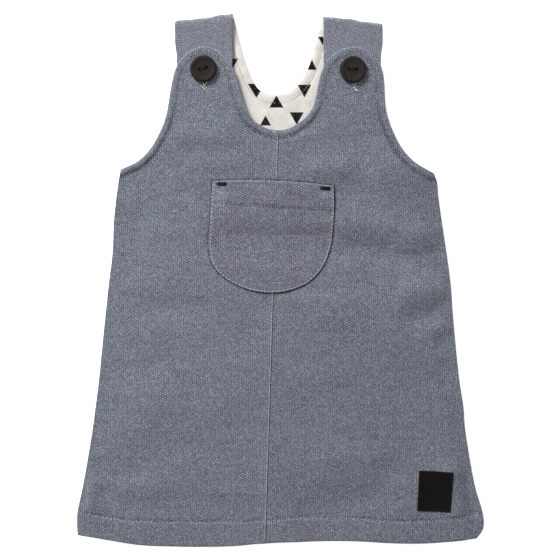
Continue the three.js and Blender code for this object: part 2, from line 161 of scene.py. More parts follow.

# %% [markdown]
# ## Where the cloth is not flat
# Cloth that has been worn and laid down keeps long soft folds. Each fold here is a line with a
# height across it: a ridge if the height is above nothing, a trough if it is below. They are
# listed one by one. A few slow waves are added, so that no part of the cloth is perfectly even.

# %% Folds of the fronts
# From x, from y, to x, to y, height, half width
FOLDS = np.array([
    [-46, 33, 34, 31, -2.0, 9.5],
    [-36, 20, 12, 20, -1.1, 13],
    [44, 24, 84, 22, -2.2, 8],
    [72, 12, 118, 9, -0.8, 11],
    [100, 18, 134, 15, -2.0, 8],
    [50, 45, 84, 43, 1.4, 9],
    [60, 50, 108, 44, 0.9, 11],
    [110, 37, 132, 33, 1.3, 8],
    [86, 87, 118, 94, 3.0, 18],
    [38, -33, 84, -33, 2.5, 23],
    [10, -18, 52, -18, 1.0, 12],
    [44, -70, 80, -68, 0.6, 16],
    [104, -10, 136, -9, 1.8, 9],
    [106, -32, 142, -24, -1.6, 9],
    [122, -38, 140, -37, 1.0, 5],
    [131, -51, 145, -47, -1.3, 6],
    [-116, -20, -62, -24, -1.3, 9],
    [-110, -36, -66, -38, -0.5, 14],
    [-130, -22, -139, -26, -1.2, 8],
    [-117, 34, -118, 10, -1.0, 7],
    [-116, -21, -88, -22, -0.6, 8],
    [-82, 112, -34, 117, 1.0, 9],
    [-72, 90, -34, 94, 0.7, 10],
    [-2, 114, 26, 116, 0.8, 6],
    [30, 90, 50, 89, 2.1, 9],
    [26, -186, 78, -174, -2.0, 14],
    [92, -150, 116, -122, -1.1, 13],
    [60, -132, 88, -124, -0.7, 13],
    [-158, -162, -161, -202, 1.9, 11],
    [-148, -166, -106, -168, 0.9, 9],
    [-140, -172, -138, -198, -1.6, 8],
    [-120, -178, -20, -184, -0.8, 11],
    [138, -156, 146, -206, 3.2, 10],
    [154, -164, 159, -200, -2.3, 9],
    [108, -88, 140, -74, -0.7, 12],
    [-138, -132, -92, -100, 0.8, 15],
    [-116, -98, -88, -92, 0.8, 12],
    [-114, -156, -92, -134, -0.6, 13],
    [-60, -104, -20, -68, 0.8, 18],
    [12, -142, 56, -140, 0.6, 13],
])
# Radians for each mm of x, radians for each mm of y, phase, height
SLOW_WAVES = np.array([
    [0.050, 0.050, 1.0, 0.16],
    [-0.020, 0.085, 2.1, 0.16],
    [0.060, -0.160, 0.4, 0.10],
    [0.030, 0.310, 5.2, 0.06],
    [-0.050, 0.430, 3.3, 0.035],
    [-0.220, 0.190, 0.9, 0.030],
])
FRONT_LOFT = 0.7


def smooth(value, start, end):
    """0 before start, 1 after end, and 3tt - 2ttt between, where t is the share of the way."""
    share = np.clip((value - start) / (end - start), 0, 1)
    return share * share * (3 - 2 * share)


def bell(distance, width):
    """1 at the middle, falling as e to the minus (distance over width) squared."""
    return np.exp(-((distance / width) ** 2))


def piece_distance(x, y, x0, y0, x1, y1):
    """Distance from each point to a straight piece, at right angles or to its nearer end."""
    run_x, run_y = x1 - x0, y1 - y0
    along = ((x - x0) * run_x + (y - y0) * run_y) / max(run_x**2 + run_y**2, 1e-9)
    share = np.clip(along, 0, 1)
    return np.hypot(x - x0 - share * run_x, y - y0 - share * run_y)


def folds(x, y):
    """The sum of every fold's bell, across the distance from its line."""
    return sum(top * bell(piece_distance(x, y, *line), width) for *line, top, width in FOLDS)


def slow_waves(x, y):
    """A sum of sines, each with its own direction, phase and height."""
    return sum(top * np.sin(kx * x + ky * y + phase) for kx, ky, phase, top in SLOW_WAVES)


print("folds:", len(FOLDS), "deepest", FOLDS[:, 4].min(), "mm, highest", FOLDS[:, 4].max(), "mm")

# %% [markdown]
# ## From rows to grids
# A smooth curve through the rows of a table gives as many rows as are wanted. Each row is then
# divided into columns. Rows and columns lie closer together near an edge, where the cloth
# rounds over, because a round edge needs more faces than a flat middle.

# %% Curves, stops and grids
EDGE_STOPS = np.array([0, 0.03, 0.12, 0.28, 0.5, 0.8, 1.2, 1.8, 2.6, 3.6, 4.8])


def curve(rows, places):
    """Catmull-Rom: a cubic between two rows whose slopes are half the change across each row."""
    last = len(rows) - 1
    places = np.clip(places, 0, last)
    index = np.minimum(places.astype(int), last - 1)
    share = (places - index)[:, None]
    before, after = rows[np.maximum(index - 1, 0)], rows[np.minimum(index + 2, last)]
    start, end = rows[index], rows[index + 1]
    start_slope, end_slope = (end - before) / 2, (after - start) / 2
    bend = 2 * (start - end) + start_slope + end_slope
    pull = 3 * (end - start) - 2 * start_slope - end_slope
    return start + share * (start_slope + share * (pull + share * bend))


def stops(length, step, free_start, free_end):
    """Distances from 0 to length, a step apart, and crowded at an end that is a free edge."""
    first = EDGE_STOPS if free_start else np.array([0.0])
    last = length - EDGE_STOPS[::-1] if free_end else np.array([length])
    count = max(2, int(round((last[0] - first[-1]) / step)) + 1)
    return np.concatenate([first, np.linspace(first[-1], last[0], count)[1:-1], last])


def sample_rows(rows, step, free_start=False, free_end=False):
    """The curve through the rows, at stops along its longest column."""
    dense = np.linspace(0, len(rows) - 1, 60 * len(rows))
    change = np.abs(np.diff(curve(rows, dense), axis=0)).max(axis=1)
    run = np.concatenate([[0], np.cumsum(change)])
    return curve(rows, np.interp(stops(run[-1], step, free_start, free_end), run, dense))


def hem_dip(x):
    """How far the hem hangs below a straight line, by a curve through the measured dips."""
    place = (np.ravel(x) - HEM_DIP_X[0]) / (HEM_DIP_X[1] - HEM_DIP_X[0])
    return curve(HEM_DIPS[:, None], place)[:, 0].reshape(np.shape(x))


def row_grid(lines, columns, free_inner=True):
    """Points across each row: at the edge stops from its free ends, and evenly between.
    Columns of lines: outer x, outer y, inner x, inner y, bow, share of the hem's dips."""
    width = np.hypot(lines[:, 2] - lines[:, 0], lines[:, 3] - lines[:, 1])[:, None]
    near = EDGE_STOPS / width
    far = 1 - near[:, ::-1] if free_inner else np.ones((len(lines), 1))
    between = near[:, -1:] + (far[:, :1] - near[:, -1:]) * np.linspace(0, 1, columns)[1:-1]
    shares = np.hstack([near, between, far])
    x = lines[:, 0:1] + (lines[:, 2:3] - lines[:, 0:1]) * shares
    y = lines[:, 1:2] + (lines[:, 3:4] - lines[:, 1:2]) * shares
    y = y + 4 * shares * (1 - shares) * lines[:, 4:5] - hem_dip(x) * lines[:, 5:6]
    return x, y


def seam_x(y, top=SEAM_TOP, foot=SEAM_FOOT):
    """The x of a leaning centre line at a height."""
    return top[0] + (top[1] - y) * (foot[0] - top[0]) / (top[1] - foot[1])


def line_y(line, x):
    """The y of a line of points at each x, straight between the points."""
    return np.interp(x, line[:, 0], line[:, 1])


def distance_to(path, x, y):
    """Distance from each point to the nearest straight piece of a path."""
    nearest = np.full(np.shape(x), 1e6)
    for start, end in zip(path[:-1], path[1:]):
        nearest = np.minimum(nearest, piece_distance(x, y, *start, *end))
    return nearest


def run_along(path):
    """The distance along a path at each of its points."""
    return np.concatenate([[0], np.cumsum(np.hypot(*np.diff(path, axis=0).T))])


def path_points(path, distances):
    """Points of a path at distances along it."""
    run = run_along(path)
    return np.stack([np.interp(distances, run, path[:, axis]) for axis in range(2)], -1)


def thinned(path, step):
    """The path with points about a step apart."""
    length = run_along(path)[-1]
    return path_points(path, np.linspace(0, length, max(2, int(length / step) + 1)))


def grid_border(grid, closed=False):
    """The path down a grid's first column, along its last row and up its last column. A closed one
    goes back along the first row too."""
    points = np.stack(grid, -1)
    runs = [points[:, 0], points[-1, 1:], points[-2::-1, -1]]
    return np.vstack([*runs, points[0, -2::-1]] if closed else runs)


# %% [markdown]
# ## Closed cloth
# A real cloth has two faces and a soft rounded edge. Each grid is placed twice, once for the
# lower face and once for the upper one. Towards a free edge the two faces meet along a
# half circle, so the shell closes by itself when its doubled edge points are merged.

# %% Shells of cloth
def edge_round(distance, half):
    """The height share of a half circle of radius half, at a distance from its end."""
    inward = np.clip(distance / half, 0, 1)
    return np.sqrt(np.clip(1 - (1 - inward) ** 2, 0, 1))


def shell_height(lower, upper, face, away):
    """Height of one face of a cloth: -1 is the lower face and 1 the upper one. They meet in a half
    circle where away, the distance from the nearest free edge, is 0."""
    middle, half = (lower + upper) / 2, (upper - lower) / 2
    return middle + face * half * edge_round(away, half)


def grid_faces(rows, columns, first, flip):
    """The four-sided faces of a grid whose points are numbered row by row."""
    index = first + np.arange(rows * columns).reshape(rows, columns)
    faces = np.stack([index[:-1, :-1], index[1:, :-1], index[1:, 1:], index[:-1, 1:]], -1)
    faces = faces.reshape(-1, 4)
    return faces[:, ::-1] if flip else faces


def make_mesh(name, points, faces, cut=None, values=None):
    """An object with its mesh in metres. cut gives each point's place in the flat pattern, which
    becomes the UV map called cut, and values are named numbers for each point."""
    mesh = bpy.data.meshes.new(name)
    mesh.from_pydata((points * MM).tolist(), [], faces)
    if cut is not None:
        layer = mesh.uv_layers.new(name="cut")
        corners = np.empty(len(mesh.loops), dtype=np.int32)
        mesh.loops.foreach_get("vertex_index", corners)
        layer.data.foreach_set("uv", (cut[corners] * MM).astype(np.float32).ravel())
    for label, numbers in (values or {}).items():
        attribute = mesh.attributes.new(label, "FLOAT", "POINT")
        attribute.data.foreach_set("value", numbers.astype(np.float32).ravel())
    mesh.polygons.foreach_set("use_smooth", np.ones(len(mesh.polygons), dtype=bool))
    obj = bpy.data.objects.new(name, mesh)
    bpy.context.scene.collection.objects.link(obj)
    return obj


def merge_doubles(obj, distance=2e-6):
    """Joins the points that lie in one place, and drops the faces that this leaves flat."""
    work = bmesh.new()
    work.from_mesh(obj.data)
    bmesh.ops.remove_doubles(work, verts=work.verts, dist=distance)
    bmesh.ops.dissolve_degenerate(work, edges=work.edges, dist=1e-7)
    loose = [edge for edge in work.edges if len(edge.link_faces) != 2]
    work.to_mesh(obj.data)
    work.free()
    return len(loose)


def cloth_shell(name, grids, place, values=None):
    """A closed shell from grids of the cut. place gives the points of one face: -1 is the lower
    face and 1 the upper one. values gives named numbers for points of the cut."""
    points, faces, cuts, count = [], [], [], 0
    for x, y in grids:
        turn = (x[1, 0] - x[0, 0]) * (y[0, 1] - y[0, 0]) - (y[1, 0] - y[0, 0]) * (x[0, 1] - x[0, 0])
        for face in (-1, 1):
            points.append(np.stack(place(x, y, face), -1).reshape(-1, 3))
            cuts.append(np.column_stack([x.ravel(), y.ravel()]))
            faces.append(grid_faces(*x.shape, count, flip=(turn > 0) != (face > 0)))
            count += x.size
    cut = np.vstack(cuts)
    named = {} if values is None else values(cut[:, 0], cut[:, 1])
    obj = make_mesh(name, np.vstack(points), np.vstack(faces).tolist(), cut, named)
    open_edges = merge_doubles(obj)
    triangles = sum(len(polygon.vertices) - 2 for polygon in obj.data.polygons)
    print(f"{name}: {triangles} triangles, {open_edges} open edges")
    return obj


# %% [markdown]
# ## The fronts
# Each front is one cut from the button tab down to the hem. Its neck and armhole edges are
# faced: a second layer inside is turned and stitched 6 mm from the edge, which leaves a slightly
# padded band and a groove. At the centre the left front laps over the right one, so its edge
# stands a little higher. All of that is one height for each point of the cut.

# %% Edges of the fronts
BAND_WIDTH, PAD_HEIGHT, BAND_GROOVE, HEM_GROOVE = 6.0, 0.5, 0.55, 0.45
NECK_SAG_SHARE = 0.55


def front_lines(side, step=1.5):
    """Rows of one front from its tab to its hem: the bodice first, and then the skirt."""
    bodice = LEFT_BODICE if side < 0 else RIGHT_BODICE
    outer = SKIRT[:, 0:2] if side < 0 else SKIRT[:, 2:4]
    skirt = np.column_stack([outer, seam_x(SKIRT[:, 4]), SKIRT[:, 4], 0 * SKIRT[:, 4], SKIRT[:, 6]])
    bodice = np.column_stack([bodice, np.zeros(len(bodice))])
    upper = sample_rows(np.vstack([bodice, skirt[:1]]), step, free_start=True)
    lower = sample_rows(skirt, step, free_end=True)
    lower[:, 2] = seam_x(lower[:, 3]) + side * SEAM_GAP / 2
    return upper, lower


def front_grid(side):
    """The rows of the bodice and the skirt in one grid, and the number of the underarm's row."""
    upper, lower = front_lines(side)
    x, y = row_grid(np.vstack([upper, lower[1:]]), 72)
    return x, y, len(upper) - 1


def front_edges(side):
    """The free edges of one front, as paths: neck, tab, armhole, side, hem and seam."""
    x, y, turn = front_grid(side)
    grid = np.stack([x, y], -1)
    neck, tab, armhole = grid[: turn + 1, -1], grid[0], grid[: turn + 1, 0]
    side_edge, hem, seam = grid[turn:, 0], grid[-1], grid[turn:, -1]
    return {
        "neck": thinned(neck, 2.0),
        "band": thinned(np.vstack([neck[::-1], tab[::-1][1:], armhole[1:]]), 1.0),
        "outer": thinned(np.vstack([tab[::-1], armhole[1:], side_edge[1:]]), 2.5),
        "side": thinned(side_edge, 3.0),
        "free": [neck, tab, armhole, side_edge, hem, seam],
    }


EDGES = {side: front_edges(side) for side in (-1, 1)}


def hemmed(x, y):
    """0 above the hem's stitch line and 1 in the turned hem."""
    return smooth(line_y(HEM_LINE, x) - y, -0.6, 1.4)


# For each side: how far in from its edges a front gains its loft, and how far in its side falls
SIDE_REACH = {-1: (56, 46), 1: (34, 20)}


def bib_rise(y):
    """How far a front has risen towards its tab, which lies over the strap."""
    return (TAB_FLOOR - FRONT_FLOOR) * smooth(y, 60, STRAP_END_Y - 2)


def band_firmness(y, least):
    """How firmly the stitched band shows: least on the tabs, and 0.6 more below the straps' ends."""
    return least + 0.6 * smooth(-y, -150, -116)


def front_faces(side, x, y):
    """Lower and upper height of one front. It rests on what is under it, rises over the strap and
    at the lap, sags along the neck, falls at the sides, and has loft and folds where nothing holds
    it down. The upper height adds the turned hem and the padded band, less the stitched grooves."""
    edges = EDGES[side]
    neck, hem = distance_to(edges["neck"], x, y), hemmed(x, y)
    over_strap = smooth(y, STRAP_END_Y - 28, STRAP_END_Y - 8)
    inward = np.minimum(distance_to(edges["outer"], x, y), neck)
    loose = (1 - over_strap) * (1 - 0.6 * hem)
    loft_reach, fall_reach = SIDE_REACH[side]
    loft = FRONT_LOFT * smooth(inward, 3, loft_reach)
    slack = smooth(inward, 0, 11) * (folds(x, y) + slow_waves(x, y))
    fall = (LINING_COTTON + GAP) * smooth(-y, -66, -46) * smooth(y, -190, -146)
    fall = fall * (1 - smooth(distance_to(edges["side"], x, y), 0, fall_reach))
    lap = LAP_HEIGHT * (side < 0) * (1 - smooth(np.abs(x - seam_x(y)), 0, LAP_WIDTH))
    sag = NECK_SAG_SHARE * (1 - over_strap) * (1 - smooth(neck, 0, 20))
    lower = FRONT_FLOOR + bib_rise(y) * (1 - sag) + loose * (loft + slack) - fall + lap
    clear_of_back = TWILL + GAP + HEM_FOLD * hem + LINING_COTTON * smooth(y, 52, 62)
    lower = np.maximum(lower, clear_of_back)
    band = distance_to(edges["band"], x, y)
    firm = band_firmness(y, 0.3)
    pad = PAD_HEIGHT * firm * smooth(band, 0.2, 2.6)
    pad = pad * (1 - smooth(band, BAND_WIDTH - 2.4, BAND_WIDTH - 0.3))
    groove = BAND_GROOVE * firm * bell(band - BAND_WIDTH, 0.75)
    hem_groove = HEM_GROOVE * bell(line_y(HEM_LINE, x) - y, 0.8)
    return lower, lower + TWILL + HEM_FOLD * hem + pad - groove - hem_groove


pocket_rows = np.column_stack([POCKET, np.zeros(len(POCKET))])
POCKET_GRID = row_grid(sample_rows(pocket_rows, 1.3, True, True), 62)
POCKET_EDGE = grid_border(POCKET_GRID)
POCKET_MOUTH = np.column_stack([POCKET_GRID[0][0], POCKET_GRID[1][0]])
POCKET_OUTLINE = thinned(np.vstack([POCKET_EDGE, POCKET_MOUTH[::-1]]), 1.5)


def front_place(side):
    """Places a point of a front's cut on its lower or upper face, rounded at the free edges."""
    def place(x, y, face):
        away = np.min([distance_to(path, x, y) for path in EDGES[side]["free"]], axis=0)
        return x, y, shell_height(*front_faces(side, x, y), face, away)
    return place


def front_values(side):
    """For the material: nearness to a turned edge, paler from rubbed pile and a painted highlight, and
    painted shade in the stitched grooves, along the hem's stitches and round the pocket.
    """
    def values(x, y):
        band = distance_to(EDGES[side]["band"], x, y)
        hem = line_y(HEM_LINE, x) - y
        # groove is painted shade: darker in the band's groove, along the hem's stitches and round the
        # pocket
        groove = band_firmness(y, 0.25) * bell(band - BAND_WIDTH, 1.6)
        groove = np.maximum(groove, 0.8 * bell(hem, 0.9))
        groove = np.maximum(groove, 1.3 * bell(distance_to(POCKET_OUTLINE, x, y), 1.1))
        # rim is paler, partly from rubbed pile and partly as a painted highlight on the turned edge
        return {"rim": bell(band, 0.9), "groove": groove}
    return values


# %% Make the fronts
front_grids = {side: front_grid(side)[:2] for side in (-1, 1)}
front_left = cloth_shell("cloth_front_left", [front_grids[-1]], front_place(-1), front_values(-1))
front_right = cloth_shell("cloth_front_right", [front_grids[1]], front_place(1), front_values(1))


def front_top(x, y):
    """Upper height of whichever front lies at a point."""
    left = x < seam_x(y)
    return np.where(left, front_faces(-1, x, y)[1], front_faces(1, x, y)[1])


# %% [markdown]
# ## The back, its straps and its lining
# The back lies on the surface. Its straps go on past the shoulder line, where the cloth turns
# over in a half circle and comes back towards the front, so the fold is a change of place: a
# point of the flat cut that lies past the shoulder line goes round the bend by its distance
# past the line. The lining follows the same bend, a little further in.

# %% Round the shoulder fold
BEND = np.pi * FOLD_RADIUS


def place_back(x, y, depth):
    """Before the shoulder line a point stays. Past it, it goes round a half circle, then back over
    the cloth, sinking as it goes. The line wavers by two sines, so that no strap folds straight.
    depth is measured from the middle of the twill, inwards."""
    left = x < BACK_TOP[0]
    centre_x, centre_y, tilt = (np.where(left, SHOULDERS[-1][i], SHOULDERS[1][i]) for i in range(3))
    ahead_x, ahead_y = -np.sin(np.radians(tilt)), np.cos(np.radians(tilt))
    past = (x - centre_x) * ahead_x + (y - centre_y) * ahead_y
    past = past + 0.35 * np.sin(0.19 * x + 0.8) + 0.2 * np.sin(0.41 * x)
    angle = np.clip(past / FOLD_RADIUS, 0, np.pi)
    beyond = np.maximum(past - BEND, 0)
    sink = (2 * FOLD_RADIUS - STRAP_FLOOR) * smooth(beyond, 0, STRAP_SETTLE)
    radius = FOLD_RADIUS - depth
    moved = np.where(past > 0, radius * np.sin(angle) - beyond, past)
    z = TWILL / 2 + FOLD_RADIUS - radius * np.cos(angle) - sink
    return x + (moved - past) * ahead_x, y + (moved - past) * ahead_y, z


def strap_lines(side, distances):
    """Rows straight across a strap, at distances past the shoulder fold. On the flat cut the strap
    leans by twice the fold's tilt, so that it comes back in line with the dress. Its outer edge
    draws in a little before it goes under the tab."""
    centre_x, centre_y, tilt, half = SHOULDERS[side]
    angle = np.radians(tilt)
    reach = distances / np.cos(angle)
    x, y = centre_x - np.sin(2 * angle) * reach, centre_y + np.cos(2 * angle) * reach
    across = side * half * np.array([np.cos(angle), np.sin(angle)])
    outer = 1 - 0.06 * smooth(distances, BEND + 12, BEND + 26)
    flat = np.zeros(len(distances))
    outer_x, outer_y = x + outer * across[0], y + outer * across[1]
    return np.column_stack([outer_x, outer_y, x - across[0], y - across[1], flat, flat])


def back_lines(side, last_row, step=2.4):
    """Rows of half of the back's cut, from the strap's end to a row of the skirt."""
    yoke = LEFT_YOKE if side < 0 else RIGHT_YOKE
    middle = SKIRT[: last_row + 1, 5]
    bodies = []
    for half, columns in ((-1, slice(0, 2)), (1, slice(2, 4))):
        outer = SKIRT[: last_row + 1, columns] - [half * 2 * GAP, 0]
        outer[0] = BACK_UNDERARMS[half]
        inner = np.column_stack([seam_x(middle, BACK_TOP, BACK_FOOT), middle])
        dips = SKIRT[: last_row + 1, 6]
        bodies.append(np.column_stack([outer, inner, 0 * middle, dips]))
    lower = sample_rows(np.hstack(bodies), step, free_end=True)
    lower = lower[:, :6] if side < 0 else lower[:, 6:]
    strap_length = BEND + SHOULDERS[side][1] - STRAP_END_Y
    strap_run = strap_length - stops(strap_length - BEND, step, True, False)
    strap = strap_lines(side, np.concatenate([strap_run, BEND * np.linspace(1, 0, 19)[1:]]))
    shoulder = np.column_stack([yoke, np.zeros((len(yoke), 2))])
    upper = sample_rows(np.vstack([strap[-1:], shoulder, lower[:1]]), step)
    return strap, upper, lower


def back_half(side, last_row, columns):
    """The grids of half of the back. Above the neck's lowest point the inner edge is free, and
    columns crowd at it. Below, they spread out again towards the middle line."""
    strap, upper, lower = back_lines(side, last_row)
    top = row_grid(np.vstack([strap, upper[1:]]), columns)
    crowded, even = row_grid(lower, columns), row_grid(lower, columns + 10, False)
    spread_out = smooth(np.arange(len(lower)), 0, 24)[:, None]
    body = [near + (far - near) * spread_out for near, far in zip(crowded, even)]
    return top, body


def back_edges(side, last_row, columns=34):
    """The free edges of half of the back's cut: armhole and neck, and the others."""
    top, body = back_half(side, last_row, columns)
    top, body = np.stack(top, -1), np.stack(body, -1)
    return {"armhole": top[:, 0], "neck": top[:, -1], "rest": [top[0], body[:, 0], body[-1]]}


# %% Make the back and its lining
NECK_STITCHES = 6.4


def back_place(last_row, inner, thickness, hem_fold, groove_depth, neck_puff=0.0):
    """Places a point of the back's cut. inner is the depth of the inner face, and the outer face
    lies a thickness outside it. The outer face has the stitched grooves. neck_puff is the height
    of the padded band along the neck, on the inner face."""
    edges = [back_edges(side, last_row) for side in (-1, 1)]
    bands = [path for half in edges for path in (half["armhole"], half["neck"])]
    rest = [path for half in edges for path in half["rest"]]

    def place(x, y, face):
        hem = hemmed(x, y) if hem_fold else np.zeros(np.shape(x))
        band = np.min([distance_to(path, x, y) for path in bands], axis=0)
        groove = groove_depth * bell(band - BAND_WIDTH, 0.7)
        if hem_fold:
            groove += 0.4 * bell(line_y(HEM_LINE, x) - y, 0.8)
        outside = inner - thickness + groove
        inside = inner + hem_fold * hem
        if neck_puff:
            neck = np.minimum(distance_to(edges[0]["neck"], x, y), distance_to(edges[1]["neck"], x, y))
            puff = smooth(neck, 0.3, 2.8) * (1 - smooth(neck, 3.8, 6.2))
            inside = inside + neck_puff * (puff - 1.4 * bell(neck - NECK_STITCHES, 0.8))
        away = np.min([band, *(distance_to(path, x, y) for path in rest)], axis=0)
        return place_back(x, y, shell_height(outside, inside, face, away))
    return place


last = len(SKIRT) - 1
back_grids = [grid for side in (-1, 1) for grid in back_half(side, last, 34)]
back = cloth_shell("cloth_back", back_grids, back_place(last, TWILL / 2, TWILL, HEM_FOLD, 0.25))
lining_grids = [grid for side in (-1, 1) for grid in back_half(side, LINING_LAST_ROW, 34)]
lining_depth = TWILL / 2 + GAP + LINING_COTTON
lining_place = back_place(LINING_LAST_ROW, lining_depth, LINING_COTTON, 0, 0, 0.25)
lining = cloth_shell("cloth_back_lining", lining_grids, lining_place)

# %% [markdown]
# ## The pocket and the label
# The pocket is a patch sewn round its sides and bottom over both fronts. It lies on the height of
# the fronts, lifted a little where it bridges the lap of the seam, so the folds below it show
# through it as they do on the real dress. The label is a small woven patch above the hem.

# %% Make the pocket
def under_pocket(x, y):
    """The height that a patch rests on: the fronts' loose height, with the lap's step bridged."""
    lift = LAP_HEIGHT * (1 - smooth(np.abs(x - seam_x(y)), 6, 20))
    loose = FRONT_FLOOR + bib_rise(y) + FRONT_LOFT + folds(x, y) + slow_waves(x, y)
    return np.maximum(loose, TWILL + GAP) + TWILL + lift


pocket_sewn = thinned(POCKET_EDGE, 1.5)
POCKET_STITCH = 1.0


def pocket_faces(x, y):
    """Lower and upper height of the pocket: a thick turned hem above its stitch line, a groove
    along the stitches, and a slight belly between them."""
    line = line_y(POCKET_HEM_LINE, x)
    turned = smooth(y - line, -0.4, 1.2)
    sewn = distance_to(pocket_sewn, x, y)
    belly = 0.34 * smooth(sewn, 1, 17)
    lower = under_pocket(x, y) + 0.15 + 1.2 * belly
    groove = 0.3 * bell(sewn - POCKET_STITCH, 0.5) + 0.2 * bell(y - line, 0.6)
    return lower, lower + 1.0 + 0.4 * belly + 0.6 * turned - groove


def pocket_place(x, y, face):
    """Places a point of the pocket, rounded at its edges."""
    away = np.minimum(distance_to(POCKET_EDGE, x, y), distance_to(POCKET_MOUTH, x, y))
    return x, y, shell_height(*pocket_faces(x, y), face, away)


# Painted highlights where the pocket's mouth is paler, below its bar tacks: from x, from y, to x, to y,
# share
HIGHLIGHT_CORNERS = np.array([[-53, 58.5, -43.5, 73.5, 0.5], [31.5, 65.5, 41.5, 71.5, 0.6]])


def pocket_values(x, y):
    """For the material: nearness to the pocket's edge, paler from rubbed pile and a painted highlight,
    painted highlights at the corners, and painted shade in the stitched groove of its hem.
    """
    line = line_y(POCKET_HEM_LINE, x)
    sewn = distance_to(pocket_sewn, x, y)
    # The pocket's edge is paler, partly from rubbed pile and partly as a painted highlight
    rim = bell(np.minimum(sewn, distance_to(POCKET_MOUTH, x, y)), 0.9)
    pale = 0.7 * rim
    for x0, y0, x1, y1, share in HIGHLIGHT_CORNERS:
        across = smooth(x, x0 - 1, x0 + 1) * smooth(-x, -x1 - 1, -x1 + 1)
        down = smooth(y, y0 - 1, y0 + 1) * smooth(-y, -y1 - 1, -y1 + 1)
        pale = np.maximum(pale, share * across * down)
    # The groove here is painted shade along the stitch line of the pocket's hem
    return {"rim": pale, "groove": 0.45 * bell(y - line, 0.7)}


pocket = cloth_shell("cloth_pocket", [POCKET_GRID], pocket_place, pocket_values)

# %% Make the label
label_lines = sample_rows(np.column_stack([LABEL, np.zeros((2, 2))]), 0.9, True, True)
label_grid = row_grid(label_lines, 24)
label_edge = grid_border(label_grid, closed=True)


def label_faces(x, y):
    """Lower and upper height of the label: its turned edges are a little thicker."""
    lower = front_top(x, y) + 0.15
    turned = 1 - smooth(distance_to(label_edge, x, y), 2.2, 3.0)
    return lower, lower + 0.65 + 0.15 * turned


def label_place(x, y, face):
    """Places a point of the label, rounded at its edges."""
    return x, y, shell_height(*label_faces(x, y), face, distance_to(label_edge, x, y))


label = cloth_shell("label_patch", [label_grid], label_place)

# %% [markdown]
# ## Buttons
# Each button is a resin disc with a raised rim, a sunk middle and two sewing holes. A profile
# turned about an axis gives the disc, and the holes are pits in its top. Real ones vary, so each
# gets its own turn.

# %% Make the buttons
# Middle x, middle y, turn in degrees
BUTTONS = {"button_left": (-61.1, 168.5, 17.0), "button_right": (58.3, 167.9, -3.0)}
# Radius, height. From the row numbered TOP_ROW on, it is the top face
BUTTON_PROFILE = np.array([
    [0.001, 0.0], [4.0, 0.0], [8.9, 0.0], [9.7, 0.15], [10.3, 0.6], [10.6, 1.2], [10.7, 1.7],
    [10.55, 2.3], [10.2, 2.75], [9.6, 3.0], [8.8, 3.05], [8.0, 2.98], [7.2, 2.86], [6.3, 2.76],
    [5.2, 2.7], [3.8, 2.66], [2.0, 2.64], [0.001, 2.64],
])
TOP_ROW, HOLE_SPACING, HOLE_RADIUS, HOLE_DEPTH = 10, 5.2, 1.3, 1.9


def make_button(name, centre_x, centre_y, turn):
    """A surface of two parameters: the place along the profile and the angle round the axis. Near
    each hole the top face sinks, by a smooth step at the hole's radius."""
    top = sample_rows(BUTTON_PROFILE[TOP_ROW:], 0.16)
    profile = np.vstack([sample_rows(BUTTON_PROFILE[: TOP_ROW + 1], 0.5)[:-1], top])
    angle = np.linspace(0, 2 * np.pi, 129)[:-1]
    x, y = profile[:, 0:1] * np.cos(angle), profile[:, 0:1] * np.sin(angle)
    z = profile[:, 1:2] + 0 * x
    on_top = np.arange(len(profile))[:, None] >= len(profile) - len(top)
    hole = np.minimum(np.hypot(x - HOLE_SPACING / 2, y), np.hypot(x + HOLE_SPACING / 2, y))
    z = z - on_top * HOLE_DEPTH * (1 - smooth(hole, HOLE_RADIUS - 0.22, HOLE_RADIUS + 0.12))
    spin = np.radians(turn)
    turned_x = centre_x + x * np.cos(spin) - y * np.sin(spin)
    turned_y = centre_y + x * np.sin(spin) + y * np.cos(spin)
    points = np.stack([turned_x, turned_y, z + BUTTON_FLOOR], -1)
    points = np.concatenate([points, points[:, :1]], axis=1)
    faces = grid_faces(*points.shape[:2], 0, flip=True).tolist()
    obj = make_mesh(name, points.reshape(-1, 3), faces)
    merge_doubles(obj, 2.5e-6)
    print(name, "points:", len(obj.data.vertices))
    return obj


buttons = {name: make_button(f"resin_{name}", *place) for name, place in BUTTONS.items()}

# %% [markdown]
# ## Sewing
# A sewing machine leaves a row of short stitches, each a bit of thread that dives into the cloth
# at both ends. One stitch is a small tapered body, and a row is that body repeated along a path
# at the machine's pitch. All stitches of a row are worked out together as one array.

# %% Rows of stitches
RANDOM = np.random.default_rng(7)
STATIONS = np.array([-0.97, -0.6, 0.0, 0.6, 0.97])
SIDES = 6
# Pitch, length, radius, and how far the ends of a stitch stray
# The fleck row makes pale dots of painted highlight under the hem's stitches
STITCHES = {
    "hem": (3.0, 2.0, 0.27, 0.08), "fleck": (3.0, 0.8, 0.14, 0.3), "seam": (2.1, 1.3, 0.19, 0.05),
    "band": (2.6, 2.0, 0.2, 0.08), "back hem": (3.0, 2.3, 0.2, 0.08),
    "pocket": (3.0, 1.6, 0.23, 0.05), "mouth": (2.3, 1.3, 0.16, 0.08),
    "lining": (2.2, 1.3, 0.22, 0.08), "label": (2.2, 1.7, 0.15, 0.04),
}


